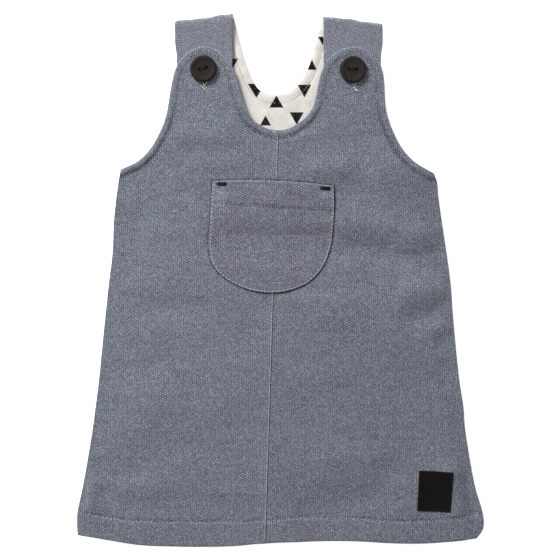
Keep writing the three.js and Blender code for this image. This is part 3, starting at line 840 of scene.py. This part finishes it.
def stitch_bodies(starts, ends, place, radius, sink=0.35, rise=0.6):
    """Thread bodies between pairs of cut points. Each has five stations along it, with a radius
    that tapers to its ends, and stands highest over the cloth at its middle."""
    share = (STATIONS[None, :, None] + 1) / 2
    cut = starts[:, None] + (ends - starts)[:, None] * share
    spine = np.stack(place(cut[..., 0], cut[..., 1]), -1)
    bow = 1 - STATIONS**2
    spine[..., 2] += radius * (rise * bow - sink)
    along = np.gradient(spine, axis=1)
    along /= np.linalg.norm(along, axis=-1, keepdims=True)
    across = np.cross(along, [0, 0, 1.0])
    across /= np.linalg.norm(across, axis=-1, keepdims=True)
    up = np.cross(across, along)
    angle = np.linspace(0, 2 * np.pi, SIDES + 1)[:-1][:, None]
    girth = radius * np.sqrt(np.clip(1 - 0.85 * STATIONS**4, 0.05, 1))[:, None, None]
    ring = np.cos(angle) * across[:, :, None] + np.sin(angle) * up[:, :, None]
    return spine[:, :, None] + girth * ring


def sew(name, bodies):
    """One object from arrays of thread bodies, each closed by a face at both ends."""
    points = np.concatenate([body.reshape(-1, 3) for body in bodies])
    count = len(points) // (len(STATIONS) * SIDES)
    ring = np.arange(len(STATIONS) - 1)[:, None] * SIDES
    side = np.arange(SIDES)
    here, beside = ring + side, ring + (side + 1) % SIDES
    quads = np.stack([here, beside, beside + SIDES, here + SIDES], -1).reshape(-1, 4)
    first = np.arange(count)[:, None, None] * len(STATIONS) * SIDES
    walls = (quads[None] + first).reshape(-1, 4)
    caps = np.stack([side[::-1], side + (len(STATIONS) - 1) * SIDES])[None] + first
    faces = walls.tolist() + caps.reshape(-1, SIDES).tolist()
    print(f"{name}: {count} stitches")
    return make_mesh(name, points, faces)


def run_stitch(path, place, kind, trim=0.0):
    """A row of stitches along a path, a little uneven in length and direction. It leaves out a
    length of trim at both ends of the path."""
    pitch, length, radius, stray = STITCHES[kind]
    end = run_along(path)[-1] - trim
    middles = np.arange(trim + pitch / 2, end - pitch / 2 + 0.01, pitch)
    middles = middles + RANDOM.normal(0, 0.04 * pitch, len(middles))
    half = length / 2 * (1 + RANDOM.normal(0, 0.06, len(middles)))
    starts = path_points(path, middles - half) + RANDOM.normal(0, stray, (len(middles), 2))
    ends = path_points(path, middles + half) + RANDOM.normal(0, stray, (len(middles), 2))
    return stitch_bodies(starts, ends, place, radius)


def inset(path, distance):
    """The path moved sideways, to its left as it runs."""
    along = np.gradient(path, axis=0)
    along /= np.hypot(along[:, 0], along[:, 1])[:, None]
    return path + distance * np.column_stack([-along[:, 1], along[:, 0]])


def on_front(x, y):
    """A point on top of the fronts."""
    return x, y, front_top(x, y)


def on_pocket(x, y):
    """A point on top of the pocket."""
    return x, y, pocket_faces(x, y)[1]


def on_label(x, y):
    """A point on top of the label."""
    return x, y, label_faces(x, y)[1]


def on_button(x, y):
    """A point between the holes of a button, just under its sunk top."""
    return x, y, BUTTON_FLOOR + 2.5 + 0 * x


# %% Hem, seam and band stitches
hem_path = HEM_LINE[(HEM_LINE[:, 0] > -161) & (HEM_LINE[:, 0] < 161)]
hem_path = np.vstack([[-160.6, -184.9], hem_path, [160.8, -186.4]])
hem_thread = sew("stitches_hem", [run_stitch(hem_path, on_front, "hem")])
# Short pale flecks under the hem's stitches: a painted highlight, where the step of the turned hem faces
# the light
highlight_fleck_path = hem_path - [0, 1.1]
hem_highlight_flecks = sew("flecks_hem", [run_stitch(highlight_fleck_path, on_front, "fleck")])

# The seam's stitches show above the pocket and below it
SEAM_STITCHED = [(116.5, 79.5), (-10.5, -209.0)]
seam_rows = []
for top, foot in SEAM_STITCHED:
    heights = np.linspace(top, foot, 60)
    path = np.column_stack([seam_x(heights) - 0.75, heights])
    seam_rows.append(run_stitch(path, on_front, "seam"))
seam_thread = sew("stitches_seam", seam_rows)

band_rows = []
for side in (-1, 1):
    path = thinned(inset(EDGES[side]["band"], -side * BAND_WIDTH), 1.5)
    band_rows.append(run_stitch(path, on_front, "band"))
band_thread = sew("stitches_band", band_rows)

# %% Back hem, pocket and lining stitches
def under_back(x, y):
    """A point in the groove of the back's hem, clear of the surface that the dress lies on."""
    return x, y, 0.3 + 0 * x


back_thread = sew("stitches_back_hem", [run_stitch(hem_path, under_back, "back hem")])
pocket_run = inset(pocket_sewn, POCKET_STITCH)
mouth_line = np.vstack([[-53.5, 62.2], POCKET_HEM_LINE[1:-1], [41.8, 56.7]])
pocket_thread = sew("stitches_pocket", [run_stitch(pocket_run, on_pocket, "pocket", trim=2.0)])
mouth_thread = sew("stitches_pocket_hem", [run_stitch(mouth_line, on_pocket, "mouth")])


def on_lining(x, y):
    """A point on the inner face of the lining."""
    return place_back(x, y, lining_depth + 0 * x)


lining_rows = []
for side in (-1, 1):
    neck = back_edges(side, LINING_LAST_ROW)["neck"]
    neck = neck[neck[:, 1] < 204]
    neck = thinned(inset(neck, side * NECK_STITCHES), 1.5)
    lining_rows.append(run_stitch(neck, on_lining, "lining"))
lining_thread = sew("stitches_lining", lining_rows)

# %% Bar tacks, buttonholes and button threads
# Middle x, middle y, tilt in degrees
BAR_TACKS = {"left": (-46.6, 76.7, -1.8), "right": (36.2, 73.2, -2.6)}
TACK_WIDTH, TACK_HEIGHT = 8.4, 2.2


def bar_tack(centre_x, centre_y, tilt):
    """Long stitches laid side by side, slightly crossed."""
    rows = np.linspace(-0.5, 0.5, 5)[:, None] * TACK_HEIGHT
    slant = RANDOM.normal(0, 0.1, (5, 1))
    across = TACK_WIDTH / 2 * (1 + RANDOM.normal(0, 0.05, (5, 1)))
    lean = np.tan(np.radians(tilt))
    starts = np.hstack([centre_x - across, centre_y + rows - slant - lean * across])
    ends = np.hstack([centre_x + across, centre_y + rows + slant + lean * across])
    return stitch_bodies(starts, ends, on_pocket, 0.36, sink=0.1)


tacks = sew("bar_tacks", [bar_tack(*place) for place in BAR_TACKS.values()])
BUTTONHOLE_TOP, SLIT_FOOT = 174.0, 156.8


def buttonhole(centre_x):
    """Short stitches laid across both long edges of the slit, a little aslant."""
    heights = np.arange(SLIT_FOOT + 0.3, BUTTONHOLE_TOP, 0.52)[:, None]
    bodies = []
    for side in (-1, 1):
        near = np.hstack([centre_x + side * 0.45 + 0 * heights, heights])
        far = np.hstack([centre_x + side * 1.6 + 0 * heights, heights + 0.12])
        bodies.append(stitch_bodies(near, far, on_front, 0.26, sink=0.2))
    return bodies


# The worn feet of both buttonholes: pale strands, from x, from y, to x, to y
FOOT_STRANDS = np.array([
    [-58.2, 159.0, -59.0, 157.2], [-59.1, 157.1, -59.9, 155.4], [-61.7, 158.2, -60.8, 155.4],
    [-60.9, 155.4, -60.0, 154.3], [-60.0, 155.3, -60.9, 154.4], [-62.0, 153.9, -61.3, 153.3],
    [-60.5, 152.9, -59.9, 152.2], [-63.1, 155.1, -62.5, 154.5], [-59.1, 153.9, -58.5, 153.4],
    [57.8, 156.6, 58.8, 156.0], [58.2, 155.9, 58.9, 156.7], [59.2, 155.9, 60.0, 155.0],
    [58.8, 154.4, 60.3, 152.6], [60.4, 152.4, 61.9, 150.5], [60.1, 156.5, 61.0, 157.5],
])
hole_bodies = [body for x, _, _ in BUTTONS.values() for body in buttonhole(x)]
hole_thread = sew("stitches_buttonholes", hole_bodies)
strand_from, strand_to = FOOT_STRANDS[:, :2], FOOT_STRANDS[:, 2:]
foot_thread = sew("buttonhole_feet", [
    stitch_bodies(strand_from, strand_to, on_front, 0.31, sink=0.0, rise=0.8),
])


def slit_shade(centre_x):
    """Painted shade in the opening between the two edges of a buttonhole, as one long sunk black stitch.
    """
    starts = np.array([[centre_x, SLIT_FOOT]])
    ends = np.array([[centre_x, BUTTONHOLE_TOP]])
    return stitch_bodies(starts, ends, on_front, 0.62, sink=0.35, rise=0.0)


slit_shades = sew("buttonhole_slits", [slit_shade(x) for x, _, _ in BUTTONS.values()])


def button_thread(centre_x, centre_y, turn):
    """Four strands of thread from hole to hole."""
    spin = np.radians(turn)
    along, across = np.array([np.cos(spin), np.sin(spin)]), np.array([-np.sin(spin), np.cos(spin)])
    offsets = np.array([[-0.6], [-0.2], [0.2], [0.6]])
    middle = np.array([centre_x, centre_y]) + offsets * across
    reach = (HOLE_SPACING / 2 + 0.5) * along
    return stitch_bodies(middle - reach, middle + reach, on_button, 0.36, sink=0.9, rise=1.5)


button_threads = sew("button_threads", [button_thread(*place) for place in BUTTONS.values()])
label_run = thinned(inset(label_edge, 1.0), 1.0)
label_thread = sew("stitches_label", [run_stitch(label_run, on_label, "label")])

# %% [markdown]
# ## Materials
# A finish is built from small effects. The weave is one of them: a checkerboard of floats, paler
# ones that run across and darker ones that run down, each yarn a little different. It is used at
# several scales by the cloth, the lining and the label, so it is a node group.

# %% A small helper for node trees
class Tree:
    """Adds nodes to a node tree. A value given for a socket is set, and a socket is linked."""

    def __init__(self, tree):
        self.tree = tree

    def link(self, output, socket):
        """A link from a node's output to an input."""
        self.tree.links.new(output, socket)

    def node(self, kind, inputs=None, **settings):
        """A node with its settings and inputs."""
        made = self.tree.nodes.new(kind)
        for label, value in settings.items():
            setattr(made, label, value)
        for key, value in (inputs or {}).items():
            if isinstance(value, bpy.types.NodeSocket):
                self.link(value, made.inputs[key])
            else:
                made.inputs[key].default_value = value
        return made

    def math(self, operation, *values):
        """A Math node's result."""
        return self.node("ShaderNodeMath", dict(enumerate(values)), operation=operation).outputs[0]

    def vector(self, operation, *values):
        """A Vector Math node's result."""
        return self.node("ShaderNodeVectorMath", dict(enumerate(values)), operation=operation).outputs[0]

    def scaled(self, vector, factors):
        """A vector times a factor for each axis."""
        return self.vector("MULTIPLY", vector, factors)

    def between(self, factor, low, high, blend="MIX"):
        """Colours mixed by a factor."""
        inputs = {0: factor, 6: low, 7: high}
        return self.node("ShaderNodeMix", inputs, data_type="RGBA", blend_type=blend).outputs[2]

    def pick(self, factor, low, high):
        """Numbers mixed by a factor."""
        return self.node("ShaderNodeMix", {0: factor, 2: low, 3: high}).outputs[0]

    def noise(self, vector, scale, detail=2.0, roughness=0.5):
        """A noise texture's value."""
        inputs = {"Vector": vector, "Scale": scale, "Detail": detail, "Roughness": roughness}
        return self.node("ShaderNodeTexNoise", inputs).outputs["Fac"]

    def wander(self, vector, scale):
        """Three noise values between minus a half and a half."""
        inputs = {"Vector": vector, "Scale": scale, "Detail": 2.0}
        colour = self.node("ShaderNodeTexNoise", inputs).outputs["Color"]
        return self.vector("SUBTRACT", colour, (0.5, 0.5, 0.5))

    def parts(self, vector):
        """The x, y and z of a vector."""
        return self.node("ShaderNodeSeparateXYZ", {0: vector}).outputs

    def cell(self, column, row, seed):
        """One random number for each cell, from its whole-numbered column and row."""
        key = self.node("ShaderNodeCombineXYZ", {0: column, 1: row, 2: seed}).outputs[0]
        noise = self.node("ShaderNodeTexWhiteNoise", {"Vector": key}, noise_dimensions="3D")
        return noise.outputs["Value"]

    def total(self, start, *layers):
        """A number plus each layer times its weight."""
        for layer, weight in layers:
            start = self.math("MULTIPLY_ADD", layer, weight, start)
        return start

    def step(self, value, low, high):
        """0 below low, 1 above high, smooth between."""
        inputs = {"Value": value, "From Min": low, "From Max": high}
        return self.node("ShaderNodeMapRange", inputs, interpolation_type="SMOOTHSTEP").outputs[0]

    def place(self, group, **inputs):
        """A node group, with underscores in names standing for spaces."""
        named = {key.replace("_", " "): value for key, value in inputs.items()}
        return self.node("ShaderNodeGroup", named, node_tree=group)


def new_group(name, inputs, outputs):
    """An empty node group with named sockets: its tree helper, its inputs and its results. An input
    without a value is a vector, and every other socket is a number."""
    group = bpy.data.node_groups.new(name, "ShaderNodeTree")
    for label, value in inputs.items():
        kind = "NodeSocketVector" if value is None else "NodeSocketFloat"
        socket = group.interface.new_socket(label, in_out="INPUT", socket_type=kind)
        if value is not None:
            socket.default_value = value
    for label in outputs:
        group.interface.new_socket(label, in_out="OUTPUT", socket_type="NodeSocketFloat")
    tree = Tree(group)
    return group, tree, tree.node("NodeGroupInput").outputs, tree.node("NodeGroupOutput").inputs


def linear(red, green, blue):
    """A screen colour of 0 to 255 as the linear colour that a shader needs."""
    share = np.array([red, green, blue]) / 255
    value = np.where(share <= 0.04045, share / 12.92, ((share + 0.055) / 1.055) ** 2.4)
    return (*[float(part) for part in value], 1.0)


# %% The weave group
def weave_group():
    """Cells of two kinds lie like a checkerboard: floats that run across, of two picks, and floats
    that run down, of three ends. Every float has a random tone, and so has every bit of yarn in it,
    because a melange yarn is spun from dark and pale fibres."""
    group, tree, given, result = new_group(
        "woven cloth",
        {"Cut": None, "Float Width": 1.725, "Float Height": 0.955, "Wobble": 0.3},
        ["Tone", "Float Tone", "Across", "Crown", "Height"],
    )
    cut = tree.scaled(given["Cut"], (1000, 1000, 0))
    bend_inputs = {0: tree.wander(cut, 0.12), "Scale": given["Wobble"]}
    bend = tree.node("ShaderNodeVectorMath", bend_inputs, operation="SCALE").outputs[0]
    place = tree.parts(tree.vector("ADD", cut, tree.scaled(bend, (4, 4, 0))))
    across = tree.math("DIVIDE", place[0], given["Float Width"])
    down = tree.math("DIVIDE", place[1], given["Float Height"])
    column, row = tree.math("FLOOR", across), tree.math("FLOOR", down)
    kind = tree.math("MODULO", tree.math("ABSOLUTE", tree.math("ADD", column, row)), 2.0)
    picks = tree.math("MULTIPLY", down, 2.0)
    ends = tree.math("MULTIPLY", across, 3.0)
    bit = tree.cell(tree.math("FLOOR", ends), tree.math("FLOOR", picks), 3.0)
    tree.link(bit, result["Tone"])
    tree.link(tree.cell(column, row, 11.0), result["Float Tone"])
    tree.link(kind, result["Across"])

    def round_yarn(value):
        return tree.math("SINE", tree.math("MULTIPLY", tree.math("FRACT", value), np.pi))

    yarn = tree.pick(kind, round_yarn(ends), round_yarn(picks))
    length = tree.pick(kind, round_yarn(down), round_yarn(across))
    tree.link(length, result["Crown"])
    height = tree.math("MULTIPLY", tree.math("POWER", yarn, 0.6), tree.math("POWER", length, 0.5))
    tree.link(height, result["Height"])
    return group


WEAVE = weave_group()
# Scale across, scale down, detail, weight: clouds, bands, single picks and single ends
DYE_LAYERS = [
    (0.02, 0.035, 2.0, 0.4), (0.012, 0.14, 2.0, 0.5), (0.035, 0.7, 1.0, 0.4), (0.7, 0.03, 1.0, 0.3),
]


def mottle_group():
    """Slow tone changes of dyed cloth: broad clouds, and streaks along the picks and the ends."""
    group, tree, given, result = new_group("uneven dye", {"Cut": None}, ["Tone"])
    cut = tree.scaled(given["Cut"], (1000, 1000, 0))
    layers = [
        (tree.noise(tree.scaled(cut, (across, down, 0)), 1.0, detail), weight)
        for across, down, detail, weight in DYE_LAYERS
    ]
    tree.link(tree.total(-0.8, *layers), result["Tone"])
    return group


MOTTLE = mottle_group()
print("node groups:", ", ".join(group.name for group in bpy.data.node_groups))

# %% [markdown]
# ### The melange cloth
# Seen close, melange is a mix of pale and dark yarns, so its colour is a range and not one value.
# Turned edges are a little paler, partly where the pile is rubbed and partly as a painted highlight
# where the rounded edge catches the light. The corners of the pocket's mouth carry painted
# highlights, and painted shade darkens the stitched grooves and a thin line round the pocket.

# %% Melange cloth
def material(name):
    """A material with its tree helper and its Principled BSDF."""
    made = bpy.data.materials.new(name)
    made.use_nodes = True
    tree = Tree(made.node_tree)
    return made, tree, made.node_tree.nodes["Principled BSDF"]


def attribute(tree, name):
    """A named number of the mesh."""
    return tree.node("ShaderNodeAttribute", attribute_name=name).outputs["Fac"]


def cut_map(tree, shift=(0.0, 0.0, 0.0)):
    """The place on the flat cut, moved so that each piece has its own part of the weave."""
    uv = tree.node("ShaderNodeUVMap", uv_map="cut").outputs[0]
    return tree.node("ShaderNodeMapping", {"Vector": uv, "Location": shift}).outputs[0]


def finish(tree, shader, colour, roughness, height, strength, distance, specular):
    """Links a colour, a roughness and a bumped height to the shader, and sets its shine."""
    tree.link(colour, shader.inputs["Base Color"])
    tree.link(roughness, shader.inputs["Roughness"])
    inputs = {"Height": height, "Strength": strength, "Distance": distance}
    tree.link(tree.node("ShaderNodeBump", inputs).outputs[0], shader.inputs["Normal"])
    shader.inputs["Specular IOR Level"].default_value = specular


DARKEST_YARN = (0.008, 0.010, 0.018, 1)


def melange(name, shift, lightness, contrast, pale):
    """Blue-grey melange: random yarn tones between a dark and a pale blue grey."""
    made, tree, shader = material(name)
    cut = cut_map(tree, shift)
    weave = tree.place(WEAVE, Cut=cut).outputs
    dye = tree.place(MOTTLE, Cut=cut).outputs["Tone"]
    bit = tree.math("POWER", weave["Tone"], 2.8)
    # Painted shading of the weave: each float is paler at its middle and darker at its ends, where the
    # yarn dives under
    painted_float_shading = tree.math("MULTIPLY", weave["Crown"], tree.total(0.85, (weave["Float Tone"], 0.3)))
    tone = tree.total(
        lightness - 0.175 + 0.36 * (1 - contrast),
        (bit, 0.56 * contrast), (weave["Across"], 0.25 * contrast), (painted_float_shading, 0.40 * contrast),
        # rim adds rubbed pile and a painted highlight, and groove adds painted shade
        (dye, 0.14), (attribute(tree, "rim"), 0.22), (attribute(tree, "groove"), -0.26),
    )
    colour = tree.between(tone, DARKEST_YARN, pale)
    millimetres = tree.scaled(cut, (1000, 1000, 0))
    tint = tree.step(tree.noise(millimetres, 0.09, 3.0), 0.35, 0.7)
    tint = tree.between(tint, linear(249, 255, 253), linear(255, 250, 254))
    fuzz = tree.noise(millimetres, 1.6, 3.0)
    roughness = tree.total(0.82, (fuzz, 0.12))
    height = tree.total(weave["Height"], (fuzz, 0.6))
    tinted = tree.between(1.0, colour, tint, "MULTIPLY")
    finish(tree, shader, tinted, roughness, height, 0.3, 0.00012, 0.25)
    shader.inputs["Sheen Weight"].default_value = 0.12
    shader.inputs["Sheen Roughness"].default_value = 0.5
    return made


# Each piece was cut from another part of the cloth, and the back with its straps is a little
# paler: shift on the cut, lightness, contrast, palest colour
CLOTH_PARTS = {
    front_left: ((0.31, 0.12, 0), 0.042, 1.0, (0.335, 0.355, 0.429, 1)),
    front_right: ((0.02, 0.45, 0), 0.030, 1.0, (0.337, 0.355, 0.429, 1)),
    back: ((0.71, 0.9, 0), 0.14, 0.8, (0.338, 0.352, 0.412, 1)),
    pocket: ((1.3, 0.2, 0), 0.015, 1.0, (0.344, 0.353, 0.428, 1)),
}
for piece, (shift, lightness, contrast, pale) in CLOTH_PARTS.items():
    piece.data.materials.append(melange(f"melange {piece.name[6:]}", shift, lightness, contrast, pale))

# %% [markdown]
# ### The printed lining
# The lining is fine off-white cotton with black triangles printed on it. Each triangle is one
# line of a table, point up or point down, and a node group turns a place on the cloth into the
# share of ink there. Ink on a weave has slightly ragged edges and lets a few threads through.

# %% Printed triangles
# Middle x, base y, width, height, and 1 for point up or -1 for point down
TRIANGLES = [
    (-18.9, 157.4, 14.0, 11.4, -1), (-2.9, 138.2, 11.4, 9.8, 1), (19.6, 156.6, 11.2, 10.2, -1),
    (-11.6, 123.9, 8.8, 8.1, 1), (13.4, 134.5, 11.4, 10.1, -1), (25.5, 168.5, 7.9, 8.5, 1),
    (36.0, 195.0, 11.4, 9.6, -1), (-38.4, 177.6, 10.2, 8.2, -1), (-40.8, 208.2, 7.6, 7.6, -1),
]
# Those under the straps and the fronts are all of one size: middle x, base y, point
COVERED_TRIANGLES = [
    (-36.5, 143.0, 1), (37.5, 147.0, 1), (-58.0, 160.0, -1), (55.0, 176.0, 1), (-60.0, 188.0, 1),
    (60.0, 150.0, -1), (-40.0, 118.0, -1), (36.0, 114.0, 1), (-78.0, 116.0, 1), (74.0, 112.0, -1),
    (0.0, 100.0, -1), (-60.0, 94.0, 1), (60.0, 92.0, -1), (-98.0, 92.0, -1), (96.0, 90.0, 1),
]
TRIANGLES += [(x, y, 9.8, 8.4, point) for x, y, point in COVERED_TRIANGLES]


def triangle_group():
    """Ink where a point is above the base and under both slanted sides of the triangle."""
    group, tree, given, result = new_group(
        "printed triangle",
        {"Cut": None, "Middle": None, "Width": 10.0, "Height": 8.5, "Point": 1.0},
        ["Ink"],
    )
    away = tree.parts(tree.vector("SUBTRACT", given["Cut"], given["Middle"]))
    above = tree.math("MULTIPLY", away[1], given["Point"])
    share = tree.math("SUBTRACT", 1.0, tree.math("DIVIDE", above, given["Height"]))
    half = tree.math("MULTIPLY", tree.math("MULTIPLY", given["Width"], 0.5), share)
    inside = tree.math("SUBTRACT", half, tree.math("ABSOLUTE", away[0]))
    depth = tree.math("MINIMUM", above, inside)
    tree.link(tree.step(depth, -0.12, 0.12), result["Ink"])
    return group


def printed_cotton():
    """Off-white cotton with the triangles' ink over it."""
    made, tree, shader = material("printed cotton")
    cut = cut_map(tree)
    weave = tree.place(WEAVE, Cut=cut, Float_Width=0.9, Float_Height=0.45, Wobble=0.2).outputs
    millimetres = tree.scaled(cut, (1000, 1000, 0))
    ragged = tree.scaled(tree.wander(millimetres, 1.3), (0.7, 0.7, 0))
    edge = tree.vector("ADD", millimetres, ragged)
    triangle, ink = triangle_group(), 0.0
    for x, y, width, height, point in TRIANGLES:
        shape = {"Middle": (x, y, 0), "Width": width, "Height": height, "Point": float(point)}
        spot = tree.place(triangle, Cut=edge, **shape)
        ink = tree.math("MAXIMUM", spot.outputs[0], ink)
    threads = tree.math("GREATER_THAN", weave["Tone"], 0.965)
    ink = tree.math("MULTIPLY", ink, tree.total(1.0, (threads, -0.35)))
    clouds = tree.noise(millimetres, 0.09, 3.0)
    tone = tree.total(0.0, (clouds, 0.6), (weave["Tone"], 0.35))
    plain = tree.between(tone, linear(157, 153, 148), linear(240, 235, 228))
    black = tree.between(weave["Tone"], linear(4, 4, 4), linear(16, 15, 14))
    roughness = tree.total(0.9, (ink, -0.12))
    printed = tree.between(ink, plain, black)
    finish(tree, shader, printed, roughness, weave["Height"], 0.4, 0.00009, 0.1)
    return made


lining.data.materials.append(printed_cotton())

# %% [markdown]
# ### Label, buttons and threads
# The label is a dense black ribbon weave and carries nothing. The buttons are dark
# brown-charcoal resin with a faint grain. Threads are dyed to match what they sew, and the pale
# ones show against the cloth. The lining's cream thread is greyed as painted shade, black fills
# the buttonhole slits as painted shade, and pale flecks under the hem are a painted highlight.

# %% Label and button finishes
def label_weave():
    """Black woven tape: the weave with nearly black yarns."""
    made, tree, shader = material("black woven tape")
    cut = cut_map(tree)
    weave = tree.place(WEAVE, Cut=cut, Float_Width=1.8, Float_Height=0.7, Wobble=0.05).outputs
    tone = tree.total(0.0, (weave["Tone"], 0.6), (weave["Across"], 0.4))
    colour = tree.between(tone, linear(0, 0, 0), linear(27, 24, 24))
    roughness = tree.total(0.6, (weave["Tone"], 0.15))
    finish(tree, shader, colour, roughness, weave["Height"], 0.5, 0.00012, 0.06)
    return made


label.data.materials.append(label_weave())


def resin(name, grain_strength, grain_turn):
    """Dark resin: slow clouds of two browns, and a faint straight grain."""
    made, tree, shader = material(name)
    place = tree.scaled(tree.node("ShaderNodeTexCoord").outputs["Object"], (1000, 1000, 1000))
    turned = tree.node("ShaderNodeMapping", {"Vector": place, "Rotation": (0, 0, grain_turn)}).outputs[0]
    clouds = tree.noise(place, 0.16, 3.0)
    grain = tree.noise(tree.scaled(turned, (1.6, 0.12, 0.12)), 1.0, 3.0)
    base = tree.between(tree.step(clouds, 0.35, 0.65), linear(30, 25, 18), linear(27, 20, 23))
    streak = tree.math("MULTIPLY", tree.step(grain, 0.45, 0.7), grain_strength)
    colour = tree.between(streak, base, linear(54, 46, 38))
    fine = tree.noise(place, 2.2, 3.0)
    roughness = tree.total(0.54, (fine, 0.16))
    height = tree.total(fine, (grain, 0.7))
    finish(tree, shader, colour, roughness, height, 0.18, 0.00012, 0.16)
    return made


buttons["button_left"].data.materials.append(resin("resin left", 0.35, 0.4))
buttons["button_right"].data.materials.append(resin("resin right", 0.6, 0.0))

# %% Thread finishes
def thread(name, dark, pale):
    """Sewing thread: twisted plies, with a painted highlight that makes their crowns paler."""
    made, tree, shader = material(name)
    place = tree.scaled(tree.node("ShaderNodeTexCoord").outputs["Object"], (1000, 1000, 1000))
    ply = tree.noise(tree.scaled(place, (3.0, 3.0, 2.0)), 1.0, 3.0)
    colour = tree.between(tree.step(ply, 0.3, 0.7), linear(*dark), linear(*pale))
    roughness = tree.total(0.6, (ply, 0.2))
    finish(tree, shader, colour, roughness, ply, 0.3, 0.0001, 0.2)
    return made


# Name, darkest colour, palest colour, what is sewn with it
THREADS = [
    # The pale thread also colours the flecks of painted highlight under the hem
    ("pale thread", (172, 174, 176), (214, 214, 210), [pocket_thread, mouth_thread, hem_highlight_flecks]),
    ("seam thread", (200, 199, 195), (236, 234, 228), [seam_thread]),
    ("cream thread", (228, 223, 212), (250, 247, 240), [foot_thread]),
    ("navy thread", (6, 8, 16), (24, 27, 38), [tacks]),
    ("tonal thread", (66, 70, 82), (112, 116, 128), [band_thread, hole_thread]),
    ("dark blue-grey thread", (56, 60, 72), (88, 92, 104), [hem_thread, back_thread]),
    # The black thread also fills the buttonhole slits, as painted shade
    ("black thread", (2, 2, 2), (9, 8, 8), [slit_shades, button_threads]),
    ("label thread", (14, 14, 15), (36, 36, 37), [label_thread]),
    # The lining's thread is cream, and its grey is painted shade along the stitched groove
    ("grey-white thread", (140, 138, 134), (186, 183, 178), [lining_thread]),
]
sewing = []
for name, dark, pale, pieces in THREADS:
    dyed = thread(name, dark, pale)
    for piece in pieces:
        piece.data.materials.append(dyed)
    sewing.extend(pieces)

# %% [markdown]
# ## How the pieces belong to the frame
# The dress is one body, so every piece rides on it. The cloth pieces stand for their solids.

# %% Ride and replace
stands_for = {
    front_left: "front_left", front_right: "front_right", back: "back", lining: "back_lining",
    pocket: "pocket", label: "label",
}
stands_for.update({button: name for name, button in buttons.items()})
for piece, node in stands_for.items():
    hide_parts(node)
for piece in [*stands_for, *sewing]:
    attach(piece, "root")


# %% [markdown]
# ## Floor, light and camera
# The photograph looks straight down on the dress, on plain white. A large soft light stands at
# the upper left, low enough for the folds to show, and a pale surround fills the shadows.

# %% Floor
SPAN, FLOOR_HEIGHT = 3.0, -0.0002
floor_mesh = bpy.data.meshes.new("floor")
corners = [(SPAN * x, SPAN * y, FLOOR_HEIGHT) for x, y in ((-1, -1), (1, -1), (1, 1), (-1, 1))]
floor_mesh.from_pydata(corners, [], [(0, 1, 2, 3)])
floor = bpy.data.objects.new("floor", floor_mesh)
bpy.context.scene.collection.objects.link(floor)
floor_finish, _, floor_shader = material("pale floor")
FLOOR_VALUES = {
    "Base Color": (0.93, 0.93, 0.93, 1), "Roughness": 0.9, "Specular IOR Level": 0.1,
    "Emission Color": (1, 1, 1, 1), "Emission Strength": 0.68,
}
for label_text, value in FLOOR_VALUES.items():
    floor_shader.inputs[label_text].default_value = value
floor_mesh.materials.append(floor_finish)

# %% Light
LIGHT_PLACE, LIGHT_SIZE, LIGHT_POWER, SURROUND = (-1.15, 1.6, 1.15), 0.8, 82, 0.46
light_data = bpy.data.lights.new("key light", "AREA")
light_data.size, light_data.energy = LIGHT_SIZE, LIGHT_POWER
light = bpy.data.objects.new("key light", light_data)
light.location = LIGHT_PLACE
# It faces the middle of the dress
x, y, z = LIGHT_PLACE
light.rotation_euler = (float(np.arctan2(np.hypot(x, y), z)), 0, float(np.arctan2(x, -y)))
bpy.context.scene.collection.objects.link(light)
world = bpy.data.worlds.new("studio")
world.use_nodes = True
background = world.node_tree.nodes["Background"].inputs
background[0].default_value, background[1].default_value = (1, 1, 1, 1), SURROUND
bpy.context.scene.world = world
bpy.context.scene.view_settings.view_transform = "Standard"

# %% Camera
LENS, SENSOR, VIEW_WIDTH, CLOTH_HEIGHT = 85.0, 36.0, 0.448, 0.005
camera_data = bpy.data.cameras.new("camera")
camera_data.lens, camera_data.sensor_width = LENS, SENSOR
camera = bpy.data.objects.new("camera", camera_data)
camera.location = (0, 0, VIEW_WIDTH * LENS / SENSOR + CLOTH_HEIGHT)
bpy.context.scene.collection.objects.link(camera)
bpy.context.scene.camera = camera
print("camera height:", round(camera.location.z, 4), "m")
